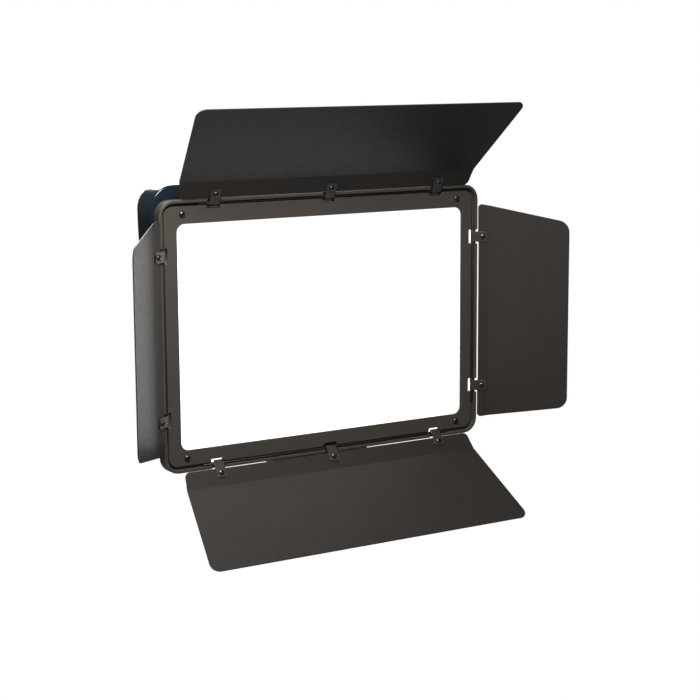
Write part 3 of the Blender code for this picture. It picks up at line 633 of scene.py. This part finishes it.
def make_light_leaks():
    """Glowing film behind the slots of the bottom and right clips: painted light, where light from inside
    shows.
    """
    wide = SLOT_W - 0.4
    for side, numbers in (("bottom", (0, 2)), ("right", (0, 1))):
        out, depth = hinge_at(side)
        near = 0.2 - out - SLOT_IN
        for i in numbers:
            t = clip_places(side)[i]
            glow_films = [("bar", (t, SIDE_LEAK_AT), wide, SIDE_LEAK_W)]
            if side == "bottom":
                leg_middle = (t + wide / 2 - LEAK_LEG_IN - LEAK_LEG / 2, near + LEAK_H + LEAK_LEG_H / 2)
                glow_films = [("bar", (t, near + LEAK_H / 2), wide, LEAK_H)]
                glow_films.append(("leg", leg_middle, LEAK_LEG, LEAK_LEG_H))
            for label, middle, width, height in glow_films:
                outline = slab(middle, width, height, 0.3)
                glow_film = upright(plate(outline, [], LEAK_DEPTH - depth, LEAK_DEPTH + LEAK_T - depth))
                name = f"leaked_light_{side}_{i + 1}_{label}"
                add_piece(name, glow_film, LOOKS["glow"], "head", side_frame(side))


def screw(head_r, head_h, shank_r, length):
    """A pan-head screw along y with its head towards -y. Its cross recess is cut in screw_mesh."""
    rounds = [math.radians(90 * i / 7) for i in range(8)]
    head = [(head_r * math.cos(a), -head_h * math.sin(a)) for a in rounds]
    crown = [(max(r, head_r * 0.12), h) for r, h in reversed(head)]
    threads = []
    pitch = 0.5
    for i in range(int((length - 0.8) / pitch)):
        threads += [(shank_r, 0.3 + i * pitch), (shank_r - 0.18, 0.3 + (i + 0.5) * pitch)]
    profile = crown + [(shank_r, 0.0)] + threads + [(shank_r, length - 0.5), (shank_r * 0.6, length)]
    return turned(profile, "y", sides=32)


def recess(head_r, head_h):
    """A cross that narrows as it goes in."""
    arms = []
    for turn in (0.0, 90.0):
        deep = -head_h * 0.25
        loops = []
        for reach, half, y in ((head_r * 0.62, 0.42, -head_h - 0.2), (head_r * 0.3, 0.25, deep)):
            loops.append([(-reach, y, -half), (reach, y, -half), (reach, y, half), (-reach, y, half)])
        arm = loft(loops)
        bmesh.ops.rotate(arm, verts=arm.verts[:], matrix=Matrix.Rotation(math.radians(turn), 3, "Y"))
        arms.append(arm)
    return arms


def screw_mesh(name, head_r, head_h, shank_r, length):
    """One screw's mesh, with a cross recess, for all its copies."""
    pattern = bpy.data.objects.new(name, mesh_of(name, screw(head_r, head_h, shank_r, length), WORLD, 30.0))
    bpy.context.scene.collection.objects.link(pattern)
    for arm in recess(head_r, head_h):
        carve(pattern, arm, WORLD)
    mesh = pattern.data
    mesh.shade_smooth()
    mesh.set_sharp_from_angle(angle=math.radians(30.0))
    bpy.data.objects.remove(pattern)
    return mesh


def add_screw(name, mesh, body, matrix, at, spin, nodes=()):
    """A copy of a screw in a frame, turned about its own axis by an angle in degrees."""
    copy = bpy.data.objects.new(name, mesh.copy())
    bpy.context.scene.collection.objects.link(copy)
    turn = Matrix.Rotation(math.radians(spin), 4, "Y")
    copy.matrix_world = matrix @ Matrix.Translation(at) @ WORLD.inverted() @ turn
    dress(copy, LOOKS["screw"][0], body, nodes)


def make_screws():
    mesh = screw_mesh("bezel_screw", 2.8, 1.6, 1.4, 7.0)
    for name, (x, z) in bezel_screw_places().items():
        add_screw(name.replace("screw", "pan_screw"), mesh, "head", HEAD, (x, -0.3, z), 23.0 * x + z, [name])
    mesh = screw_mesh("clip_screw", 2.6, 1.2, 1.3, 4.0)
    for side in SIDES:
        for i, t in enumerate(clip_places(side), 1):
            name = f"clip_screw_{side}_{i}"
            at = (t, -2.1, CLIP_SCREW_R)
            copy = name.replace("screw", "pan_screw")
            add_screw(copy, mesh, f"door_{side}", door_frame(side), at, 37.0 * t, [name])
    mesh = screw_mesh("panel_screw", 2.8, 1.2, 1.3, 5.0)
    for i, (x, z) in enumerate(PANEL_SCREWS, 1):
        add_screw(f"panel_screw_{i}", mesh, "head", BACK, (-x, 0.0, z), 31.0 * i)


def make_rods():
    for side in SIDES:
        low, high = node_box(f"hinge_rod_{side}")
        half = max(high.x - low.x, high.z - low.z) / 2
        profile = [(ROD_R * 0.55, -half), (ROD_R * 0.9, 0.12 - half), (ROD_R, 0.35 - half)]
        profile += [(r, -h) for r, h in reversed(profile)]
        rod = turned(profile, "x", sides=24)
        matrix = side_frame(side) @ Matrix.Translation((side_shift(side), 0.0, 0.0))
        add_piece(f"hinge_wire_{side}", rod, LOOKS["rod"], "head", matrix, [f"hinge_rod_{side}"])


# ---- Barn doors ----


def fold_span(fold):
    """Where the fold starts and ends along a sheet whose straight runs would meet at fold."""
    start = fold - FOLD_ROUND * math.tan(BEND / 2)
    return start, start + FOLD_ROUND * BEND


def door_place(fold):
    """A rule for the bent sheet in the door's frame: s along the sheet, n towards its inner face."""
    start, folded = fold_span(fold)

    def rule(t, s, n):
        if s <= start:
            return t, -(DOOR_MIDDLE + n), s
        turn = min((s - start) / FOLD_ROUND, BEND)
        r = start + (FOLD_ROUND - n) * math.sin(turn)
        out = DOOR_MIDDLE + FOLD_ROUND - (FOLD_ROUND - n) * math.cos(turn)
        rest = max(s - folded, 0.0)
        return t, -(out + rest * math.sin(BEND)), r + rest * math.cos(BEND)

    return rule


def door_outline(half_in, half_out, fold, leaf, last):
    """The flat sheet: round corners at the hinge, straight side edges, and round outer corners."""
    start, folded = fold_span(fold)
    end = folded + leaf - (fold - start)
    slope = (half_out - half_in) / end
    side = []
    for i in range(9):
        a = math.radians(90.0 * i / 8)
        s = FLANGE_START + FLANGE_CORNER * (1 - math.cos(a))
        side.append((half_in + slope * s - FLANGE_CORNER * (1 - math.sin(a)), s))
    for i in range(13):
        a = math.radians(90.0 * i / 12)
        s = end - DOOR_CORNER * (1 - math.sin(a))
        side.append((half_in + slope * s - DOOR_CORNER * (1 - math.cos(a)), s))
    relief = [(last, FLANGE_RELIEF - 0.3), (last, FLANGE_START)]
    half = relief + side
    return half + [(-t, s) for t, s in reversed(half)]


def make_doors():
    for side in SIDES:
        sizes = WIDE_DOOR if side in ("top", "bottom") else TALL_DOOR
        fold = sizes[2]
        start, folded = fold_span(fold)
        cuts = [start + (folded - start) * i / 8 for i in range(9)]
        shift = side_shift(side)
        places = [t - shift for t in clip_places(side)]
        holes = [circle((t, CLIP_SCREW_R), 1.5) for t in places]
        outline = door_outline(*sizes, max(places) - CLIP_W / 2)
        sheet = bent(plate(outline, holes, -DOOR_T / 2, DOOR_T / 2), cuts, door_place(fold))
        matrix = door_frame(side) @ Matrix.Translation((shift, 0.0, 0.0))
        look = LOOKS["door"]
        nodes = [f"barn_door_{side}"]
        add_piece(f"door_sheet_{side}", sheet, look, f"door_{side}", matrix, nodes, bevel=0.3, smooth=50.0)


def clip_place(t, s, n):
    """A point of a clip in the door's frame: s from the tip of its plate, and on round the hinge's eye."""
    if s <= CLIP_REACH:
        return t, -(EYE_MIDDLE + n), CLIP_REACH - s
    turn = math.radians(90.0) + (s - CLIP_REACH) / EYE_MIDDLE
    return t, -(EYE_MIDDLE + n) * math.sin(turn), (EYE_MIDDLE + n) * math.cos(turn)


def make_clips():
    wrap = EYE_MIDDLE * math.radians(EYE_END - 90.0)
    cuts = [CLIP_REACH + wrap * i / 16 for i in range(16)]
    half = CLIP_W / 2
    tip = arc((-half + 1.6, 1.6), 1.6, 180, 270, 5) + arc((half - 1.6, 1.6), 1.6, 270, 360, 5)
    outline = tip + [(half, CLIP_REACH + wrap), (-half, CLIP_REACH + wrap)]
    for side in SIDES:
        for i, t in enumerate(clip_places(side)):
            hole = circle((0.0, CLIP_REACH - CLIP_SCREW_R), 1.5)
            strip = bent(plate(outline, [hole], -CLIP_T / 2, CLIP_T / 2), cuts, clip_place)
            matrix = door_frame(side) @ Matrix.Translation((t, 0.0, 0.0))
            nodes = [f"hinge_clip_{side}_{i + 1}"]
            name = f"clip_{side}_{i + 1}"
            add_piece(name, strip, LOOKS["clip"], f"door_{side}", matrix, nodes, 0.12, 2, 50.0)


# ---- Rear shell ----


def shell_box():
    low, high = node_box("rear_shell")
    return low - FACE_AT, high - FACE_AT


def shell_loop(inset, depth, steps=14):
    """The shell's outline: round corners, and sides drawn in between them."""
    low, high = shell_box()
    half = high.x - inset
    top = high.z - inset
    bottom = low.z + inset
    radius = SHELL_CORNER - inset
    middle = (top + bottom) / 2
    reach = (top - bottom) / 2 - radius
    loop = []
    for sx, start in ((1, 0), (-1, 90), (-1, 180), (1, 270)):
        centre = (sx * (half - radius), top - radius if start in (0, 90) else bottom + radius)
        loop.extend((x, depth, z) for x, z in arc(centre, radius, start, start + 90, steps))
        if start in (90, 270):
            for i in range(1, 2 * steps):
                share = i / (2 * steps)
                z = middle + reach * (1 - 2 * share) * (1 if start == 90 else -1)
                waist = SHELL_WAIST * math.sin(math.pi * share) ** 2
                loop.append((sx * (half - waist), depth, z))
    return loop


def opening_loop(depth, steps=14):
    """The shell's front opening, with its points spread as on shell_loop."""
    radius = OPENING_CORNER
    top = OPENING_TOP - radius
    bottom = OPENING_BOTTOM + radius
    loop = []
    for sx, start in ((1, 0), (-1, 90), (-1, 180), (1, 270)):
        centre = (sx * (OPENING_HALF - radius), top if start in (0, 90) else bottom)
        loop.extend((x, depth, z) for x, z in arc(centre, radius, start, start + 90, steps))
        if start in (90, 270):
            for i in range(1, 2 * steps):
                step = (top - bottom) * i / (2 * steps)
                loop.append((sx * OPENING_HALF, depth, top - step if start == 90 else bottom + step))
    return loop


def make_shell():
    """The shell's walls, open at the front and stepped at the back to take the panel."""
    rounds = [math.radians(90.0 * i / 8) for i in range(9)]
    back = SHELL_BACK - SHELL_ROUND
    profile = [(1.5 * (1 - math.sin(a)), SHELL_FRONT + 1.5 * (1 - math.cos(a))) for a in rounds]
    profile += [(0.0, SHELL_FRONT + (back - SHELL_FRONT) * share) for share in (0.35, 0.65)]
    profile += [(SHELL_ROUND * (1 - math.cos(a)), back + SHELL_ROUND * math.sin(a)) for a in rounds]
    groove = PANEL_INSET - 0.3
    profile += [(groove, SHELL_BACK - 0.25), (groove, SHELL_BACK - PANEL_T - 0.3)]
    profile += [(12.0, SHELL_BACK - PANEL_T - 0.3), (12.0, SHELL_BACK - 3.0), (2.5, SHELL_BACK - 5.0)]
    profile += [(2.5, SHELL_FRONT + 2.5)]
    loops = [shell_loop(inset, depth) for inset, depth in profile]
    loops += [opening_loop(SHELL_FRONT + 2.5), opening_loop(SHELL_FRONT)]
    walls = loft(loops, ring=True)
    add_piece("shell_walls", walls, LOOKS["gloss"], "head", nodes=["rear_shell"], smooth=35.0)


def back_place(node):
    """Where a node's middle lies on the panel: x and z in the head's frame."""
    middle = node_middle(node) - FACE_AT
    return middle.x, middle.z


def vent_places():
    """Each vent's middle and length: two banks over the battery plates, and one over the display."""
    places = []
    for node in BATTERY_PLATES:
        x, z = back_place(node)
        places += [((x, z + 56.0 + VENT_PITCH * i), 40.0) for i in range(5)]
    x, z = back_place("display_window")
    return places + [((x, z + 30.0 + VENT_PITCH * i), 52.0) for i in range(4)]


def make_panel():
    """The shell's back: a panel with vents and a hole for each control, and a gauze behind the vents."""
    outline = [(x, z) for x, _, z in shell_loop(PANEL_INSET, 0.0)]
    holes = [slab(at, length, VENT_T, VENT_T / 2 - 0.05) for at, length in vent_places()]
    holes += [slab(back_place("display_window"), 50.0, 24.0, 1.0)]
    holes += [slab(back_place("rocker_housing"), 19.0, 12.6, 0.6)]
    holes += [circle(back_place("dc_jack"), 5.4, 32), circle(back_place("mode_button"), 4.5, 32)]
    holes += [circle(back_place(f"{name}_knob"), 3.4) for name in DIALS]
    holes += [slab(back_place(node), 13.0, 7.6, 0.6) for node in LATCHES]
    panel = upright(plate(outline, holes, SHELL_BACK - PANEL_T, SHELL_BACK))
    add_piece("back_panel", panel, LOOKS["panel"], "head", bevel=0.25, segments=2)
    gauzes = []
    for at, length in vent_places():
        strip = slab(at, length + 3.0, VENT_T + 3.0, 1.0)
        gauzes.append(upright(plate(strip, [], SHELL_BACK - PANEL_T - 0.7, SHELL_BACK - PANEL_T - 0.3)))
    add_piece("vent_gauze", joined(gauzes), LOOKS["gauze"], "head")


def bar(at, width, height, low, high, radius=0.2):
    """A thin rounded bar lying on the panel, as seen from behind: x to the right, z up."""
    return upright(plate(slab(at, width, height, radius), [], -high, -low))


def ticks(at, radius, count):
    """Marks round a dial, from its lower left over its top to its lower right."""
    marks = []
    for i in range(count):
        turn = math.radians(150.0 - 300.0 * i / (count - 1))
        length = 2.4 if i in (0, count // 2, count - 1) else 1.5
        mark = bar((0.0, radius + length / 2), 0.6, length, 0.0, PRINT_T)
        bmesh.ops.rotate(mark, verts=mark.verts[:], matrix=Matrix.Rotation(-turn, 3, "Y"))
        bmesh.ops.translate(mark, verts=mark.verts[:], vec=(at[0], 0.0, at[1]))
        marks.append(mark)
    return marks


def make_dials():
    """Fluted dials with a pointer line, marks round them, and a minus and a plus below each."""
    marks = []
    for name in DIALS:
        x, z = back_place(f"{name}_knob")
        low, high = node_box(f"{name}_knob")
        r = (high.x - low.x) / 2
        height = high.y - FACE_AT.y - SHELL_BACK
        rounds = [math.radians(15.0 * i) for i in range(7)]
        profile = [(2.0, -8.0), (2.0, 1.0), (r - 1.2, 1.0), (r - 0.3, 1.3)]
        profile += [(r, 2.0), (r, 3.4), (r - 0.35, 3.8)]
        profile += [(r - 0.5 - 0.3 * i / 6, 4.2 + 6.6 * i / 6) for i in range(7)]
        profile += [(r - 1.0 - 1.6 * (1 - math.cos(a)), height - 1.6 + 1.6 * math.sin(a)) for a in rounds]
        profile += [(r - 3.4, height), (r - 3.9, height - 0.5), (1.0, height - 0.6)]

        def flutes(turn, radius, at):
            return -0.4 * max(0.0, math.cos(30 * turn)) if 4.0 < at < height - 1.0 else 0.0

        matrix = HEAD @ Matrix.Translation((x, SHELL_BACK, z))
        dial = turned(profile, "y", sides=180, wave=flutes)
        add_piece(f"{name}_dial", dial, LOOKS["soft"], f"{name}_dial", matrix, [f"{name}_knob"], smooth=40.0)
        pointer = upright(plate(slab((0.0, 3.1), 0.8, 4.2, 0.3), [], height - 0.62, height - 0.4))
        add_piece(f"{name}_pointer", pointer, LOOKS["print"], f"{name}_dial", matrix)
        marks += ticks((-x, z), r + 2.0, 11)
        for across, width, tall in ((-9.0, 3.0, 0.6), (9.0, 3.0, 0.6), (9.0, 0.6, 3.0)):
            marks.append(bar((-x + across, z - r - 5.0), width, tall, 0.0, PRINT_T))
    add_piece("panel_marks", joined(marks), LOOKS["print"], "head", BACK)


SEGMENTS = {"0": "abcdef", "1": "bc", "5": "acdfg", "6": "acdefg"}


def digit(figure, at, width, height):
    """A figure of lit bars, as on any such display."""
    half = height / 2
    flat = {"a": half, "g": 0.0, "d": -half}
    tall = {"f": (-1, 1), "b": (1, 1), "e": (-1, -1), "c": (1, -1)}
    bars = []
    for name in SEGMENTS[figure]:
        if name in flat:
            bars.append(bar((at[0], at[1] + flat[name]), width - 0.9, 0.75, LIT_BACK, LIT_FRONT, 0.3))
        else:
            sx, sz = tall[name]
            middle = (at[0] + sx * width / 2, at[1] + sz * half / 2)
            bars.append(bar(middle, 0.75, half - 0.9, LIT_BACK, LIT_FRONT, 0.3))
    return bars


def make_display():
    x, z = back_place("display_window")
    at = (-x, z)
    frame_bars = upright(plate(slab(at, 49.0, 23.0, 1.0), [slab(at, 44.0, 18.0, 0.6)], 2.95, 3.05))
    add_piece("display_border", frame_bars, LOOKS["matte"], "head", BACK)
    add_piece("display_ground", bar(at, 45.8, 21.6, -3.45, -3.3, 0.6), LOOKS["ground"], "head", BACK)
    lit_bars = []
    for row, figures, width, height in ((3.6, "5600", 3.6, 6.6), (-5.2, "100", 2.6, 4.4)):
        for i, figure in enumerate(figures):
            lit_bars += digit(figure, (at[0] - 8.0 + i * (width + 2.2), at[1] + row), width, height)
    for i in range(6):
        middle = (at[0] + 9.5 + 1.7 * i, at[1] - 6.0 + 0.4 * i)
        lit_bars.append(bar(middle, 1.0, 1.8 + 0.8 * i, LIT_BACK, LIT_FRONT, 0.2))
    add_piece("display_figures", joined(lit_bars), LOOKS["segment"], "head", BACK)
    finish_node("display_window", LOOKS["glass"], 0.2)


def make_controls():
    x, z = back_place("mode_button")
    profile = [(5.2, -4.2), (5.2, -3.2), (4.0, -3.2), (4.0, 1.5), (3.85, 1.9), (3.5, 2.15), (3.1, 2.2)]
    profile += [(2.4, 2.05), (1.2, 1.9), (0.3, 1.88)]
    matrix = HEAD @ Matrix.Translation((x, SHELL_BACK, z))
    add_piece("mode_cap", turned(profile, "y"), LOOKS["soft"], "button", matrix, ["mode_button"])
    x, z = back_place("dc_jack")
    profile = [(0.4, -9.0), (2.9, -9.0), (2.9, 0.8), (3.3, 1.2), (6.4, 1.2), (6.85, 1.0)]
    profile += [(7.0, 0.6), (7.0, 0.3), (5.1, 0.3), (5.1, -11.0), (0.4, -11.0)]
    matrix = HEAD @ Matrix.Translation((x, SHELL_BACK, z))
    add_piece("power_socket", turned(profile, "y"), LOOKS["matte"], "head", matrix, ["dc_jack"])
    pin = [(0.3, -1.0), (0.7, -1.05), (0.95, -1.3), (1.0, -1.7), (1.0, -8.9), (0.3, -8.9)]
    add_piece("power_pin", turned(pin, "y", sides=24), LOOKS["brass"], "head", matrix)
    finish_node("rocker_housing", LOOKS["matte"], 0.3)
    finish_node("power_rocker", LOOKS["red"], 0.4)
    rocker_marks()


def rocker_marks():
    """A bar on one half of the rocker and a ring on the other, standing just out of its dished top."""
    pivot = JOINTS["rocker_tip"]["pos_m"]
    matrix = Matrix.Translation(pivot) @ Matrix.Rotation(ROCKER_TIP, 4, "Z") @ WORLD
    stroke = upright(plate(slab((-4.2, 0.0), 0.7, 3.2, 0.3), [], 3.75, 4.05))
    ring = upright(plate(circle((4.2, 0.0), 1.7, 32), [circle((4.2, 0.0), 1.1, 32)], 3.75, 4.05))
    add_piece("rocker_marks", joined([stroke, ring]), LOOKS["print"], "rocker", matrix)


def make_battery_plates():
    """The rails stay, and each floor gets four contacts. The latches get ridges for a thumb."""
    for node, latch in zip(BATTERY_PLATES, LATCHES):
        finish_node(node, LOOKS["matte"], 0.35)
        x, z = back_place(node)
        low, high = node_box(node)
        floor = low.y - FACE_AT.y + RAIL_FLOOR
        pads = []
        for i in (-1.5, -0.5, 0.5, 1.5):
            outline = slab((x + 5.0 * i, z + 21.0), 2.4, 9.0, 0.4)
            pads.append(upright(plate(outline, [], floor - 0.1, floor + 0.35)))
        name = node.replace("battery_plate", "battery_contacts")
        add_piece(name, joined(pads), LOOKS["brass"], "head", bevel=0.1, segments=2)
        finish_node(latch, LOOKS["soft"], 0.5)
        low, high = node_box(latch)
        top = high.y - FACE_AT.y
        x, z = back_place(latch)
        ribs = []
        for i in range(3):
            near = (x - 4.5, top - 2.2 + 0.55 * i, z - 2.3 + 1.5 * i)
            far = (x + 4.5, top - 1.2 + 0.55 * i, z - 1.6 + 1.5 * i)
            ribs.append(block(near, far))
        body = latch.replace("battery_", "")
        name = latch.replace("battery_latch", "latch_ribs")
        add_piece(name, joined(ribs), LOOKS["soft"], body, bevel=0.15, segments=2)


# ---- Stand adapter ----


def make_adapter():
    """The casting: a barrel for the tilt bolt, a neck, and a sleeve whose bore takes the spigot."""
    low, high = node_box("stand_receiver")
    bolt_z = JOINTS["head_tilt"]["pos_m"][2] / MM
    half = high.x
    thumb_z = JOINTS["thumb_screw_turn"]["pos_m"][2] / MM
    rim = [(BARREL_R - 0.8, -half), (BARREL_R, 0.8 - half), (BARREL_R, half - 0.8), (BARREL_R - 0.8, half)]
    barrel = turned(rim, "x", (0.0, bolt_z), 64)
    casting = add_piece("stand_adapter", barrel, LOOKS["cast"], "stand", WORLD, ["stand_receiver"])
    neck = upright(plate(rounded(15.0, bolt_z, SLEEVE_H - 4.0, 1.0), [], -8.0, 8.0))
    profile = [(SLEEVE_R - 1.2, 0.0), (SLEEVE_R, 1.2)]
    profile += [(SLEEVE_R, SLEEVE_H - 1.5), (SLEEVE_R - 1.5, SLEEVE_H)]
    boss = turned([(BOSS_R - 0.6, low.x), (BOSS_R, low.x + 0.6), (BOSS_R, 0.0)], "x", (0.0, thumb_z), 48)
    for shape in (neck, turned(profile, "z", sides=64), boss):
        carve(casting, shape, WORLD, "UNION")
    mouth = SOCKET_R + 0.8
    bores = (
        turned([(BOLT_BORE, -40.0), (BOLT_BORE, 40.0)], "x", (0.0, bolt_z), 40),
        turned([(mouth, -1.0), (mouth, 0.4), (SOCKET_R, 1.2), (SOCKET_R, SOCKET_DEPTH)], "z", sides=64),
        turned([(THREAD_R, -30.0), (THREAD_R, 1.5 - SOCKET_R)], "x", (0.0, thumb_z), 32),
    )
    for shape in bores:
        carve(casting, shape, WORLD)
    round_edges(casting, 0.5, 3, 35.0)


def make_tilt_knob():
    """A lobed clamping knob on the end of the tilt bolt, with a bore in its base where its steel insert
    sits.
    """
    low, high = node_box("tilt_knob")
    radius = 17.0
    length = high.x - low.x - 0.6
    sides = 160

    def loop(scale, height, wave):
        points = []
        for i in range(sides):
            turn = math.tau * i / sides
            r = radius * scale * (1.0 - wave * (1.0 - math.cos(5 * turn)) / 2)
            points.append((height, r * math.cos(turn), r * math.sin(turn)))
        return points

    rows = [(0.253, 15.0, 0.0), (0.253, 0.0, 0.0), (0.53, 0.0, 0.0)]
    rows += [(0.55, 0.5, 0.0), (0.55, 3.9, 0.0), (0.6, 4.5, 0.02)]
    rounds = [math.radians(90.0 * i / 6) for i in range(7)]
    rows += [(0.88 + 0.12 * math.sin(a), 4.7 + 2.0 * (1 - math.cos(a)), 0.12) for a in rounds]
    rows += [(0.9 + 0.1 * math.cos(a), length - 2.6 + 2.4 * math.sin(a), 0.12) for a in rounds]
    rows += [(0.6, length + 0.3, 0.03), (0.5, length + 0.6, 0.0)]
    rows += [(0.42, length + 0.3, 0.0), (0.1, length, 0.0)]
    shape = loft([loop(*row) for row in rows])
    matrix = WORLD @ Matrix.Translation((low.x, 0.0, JOINTS["head_tilt"]["pos_m"][2] / MM))
    add_piece("clamp_knob_lobes", shape, LOOKS["soft"], "clamp_knob", matrix, ["tilt_knob"], smooth=45.0)


def make_thumb_screw():
    low, high = node_box("thumb_screw")
    profile = [(2.0, -8.5), (2.6, -8.0)]
    for i in range(13):
        profile += [(3.0, -7.6 + 0.55 * i), (2.7, -7.33 + 0.55 * i)]
    profile += [(3.0, 0.0), (4.0, 0.0), (4.2, 0.3), (4.2, 4.2), (8.6, 4.6), (9.5, 5.0), (10.0, 6.0)]
    profile += [(10.0, 6.0 + 7.0 * i / 4) for i in range(1, 5)]
    profile += [(9.6, 13.9), (8.8, 14.5), (6.0, 14.5), (5.6, 14.1), (0.6, 14.0)]

    def knurl(turn, radius, height):
        return 0.3 * (math.cos(40 * turn) - 1.0) / 2 if radius > 9.8 else 0.0

    at = (high.x - 8.5, 0.0, (low.z + high.z) / 2)
    matrix = WORLD @ Matrix.Translation(at) @ Matrix.Rotation(math.pi, 4, "Z")
    wheel = turned(profile, "x", sides=240, wave=knurl)
    add_piece("thumb_wheel", wheel, LOOKS["soft"], "spigot_screw", matrix, ["thumb_screw"], smooth=40.0)


for make in (
    make_bezel, make_light_leaks, make_screws, make_rods, make_doors, make_clips,
    make_shell, make_panel, make_dials, make_display, make_controls, make_battery_plates,
    make_adapter, make_tilt_knob, make_thumb_screw,
):
    make()

finish_node("front_housing", LOOKS["powder"], 0.25)
finish_node("stand_bracket", LOOKS["powder"], 0.5)
finish_node("diffuser_plate", LOOKS["window"])
finish_node("tilt_bolt", LOOKS["zinc"], 0.3)
finish_node("heat_sink", LOOKS["aluminium"], 0.15)
for name in ("friction_washer_left", "friction_washer_right"):
    finish_node(name, LOOKS["fibre"], 0.25)
for name in ("reflector_tray", "light_liner"):
    finish_node(name, LOOKS["white"])
for name in ("led_board", "control_board", "driver_board"):
    finish_node(name, LOOKS["board"])


# ---- Camera, light and floor ----


def add_camera():
    camera = bpy.data.objects.new("camera", bpy.data.cameras.new("camera"))
    camera.data.lens = 89.58
    camera.data.sensor_width = 36.0
    turn = (
        Matrix.Rotation(math.radians(-31.78), 4, "Z")
        @ Matrix.Rotation(math.radians(80.37), 4, "X")
        @ Matrix.Rotation(math.radians(-0.32), 4, "Z")
    )
    camera.matrix_world = Matrix.Translation((-0.77575, -1.32196, 0.40043)) @ turn
    bpy.context.scene.collection.objects.link(camera)
    bpy.context.scene.camera = camera


def add_softbox(name, at, towards, size, power, colour=(1.0, 1.0, 1.0)):
    light = bpy.data.lights.new(name, "AREA")
    light.shape = "RECTANGLE"
    light.size, light.size_y = size
    light.energy = power
    light.color = colour
    obj = bpy.data.objects.new(name, light)
    obj.location = at
    obj.rotation_euler = (Vector(towards) - Vector(at)).to_track_quat("-Z", "Y").to_euler()
    obj.visible_camera = False
    bpy.context.scene.collection.objects.link(obj)


def add_world():
    """White behind everything, and a soft grey studio for what lights the object."""
    world = bpy.data.worlds.new("studio")
    world.use_nodes = True
    tree = world.node_tree
    tree.nodes.clear()
    seen = tree.nodes.new("ShaderNodeBackground")
    seen.inputs["Color"].default_value = (1.0, 1.0, 1.0, 1.0)
    seen.inputs["Strength"].default_value = 1.0
    cast = tree.nodes.new("ShaderNodeBackground")
    cast.inputs["Color"].default_value = (1.0, 0.985, 0.965, 1.0)
    cast.inputs["Strength"].default_value = 0.13
    path = tree.nodes.new("ShaderNodeLightPath")
    mix = tree.nodes.new("ShaderNodeMixShader")
    out = tree.nodes.new("ShaderNodeOutputWorld")
    tree.links.new(path.outputs["Is Camera Ray"], mix.inputs["Fac"])
    tree.links.new(cast.outputs["Background"], mix.inputs[1])
    tree.links.new(seen.outputs["Background"], mix.inputs[2])
    tree.links.new(mix.outputs["Shader"], out.inputs["Surface"])
    bpy.context.scene.world = world


def add_floor():
    mesh = bpy.data.meshes.new("studio_floor")
    mesh.from_pydata([(-9, -9, 0), (9, -9, 0), (9, 9, 0), (-9, 9, 0)], [], [(0, 1, 2, 3)])
    floor = bpy.data.objects.new("studio_floor", mesh)
    floor.location = (0.0, 0.0, -0.6)
    mat, tree, shader = shader_of("pale_floor")
    shader.inputs["Base Color"].default_value = (0.4, 0.4, 0.4, 1.0)
    shader.inputs["Roughness"].default_value = 0.9
    glow = tree.nodes.new("ShaderNodeEmission")
    glow.inputs["Strength"].default_value = 1.0
    path = tree.nodes.new("ShaderNodeLightPath")
    mix = tree.nodes.new("ShaderNodeMixShader")
    tree.links.new(path.outputs["Is Camera Ray"], mix.inputs["Fac"])
    tree.links.new(shader.outputs["BSDF"], mix.inputs[1])
    tree.links.new(glow.outputs["Emission"], mix.inputs[2])
    tree.links.new(mix.outputs["Shader"], tree.nodes["Material Output"].inputs["Surface"])
    mesh.materials.append(mat)
    bpy.context.scene.collection.objects.link(floor)


add_camera()
add_world()
add_floor()
add_softbox("key", (-0.25, -0.42, 0.68), (0.0, 0.0, 0.2), (0.25, 0.25), 7.7, (1.0, 0.96, 0.91))
add_softbox("rear", (0.5, 1.5, 0.95), (0.0, 0.0, 0.17), (1.1, 1.1), 30.0)
bpy.context.scene.view_settings.view_transform = "Standard"
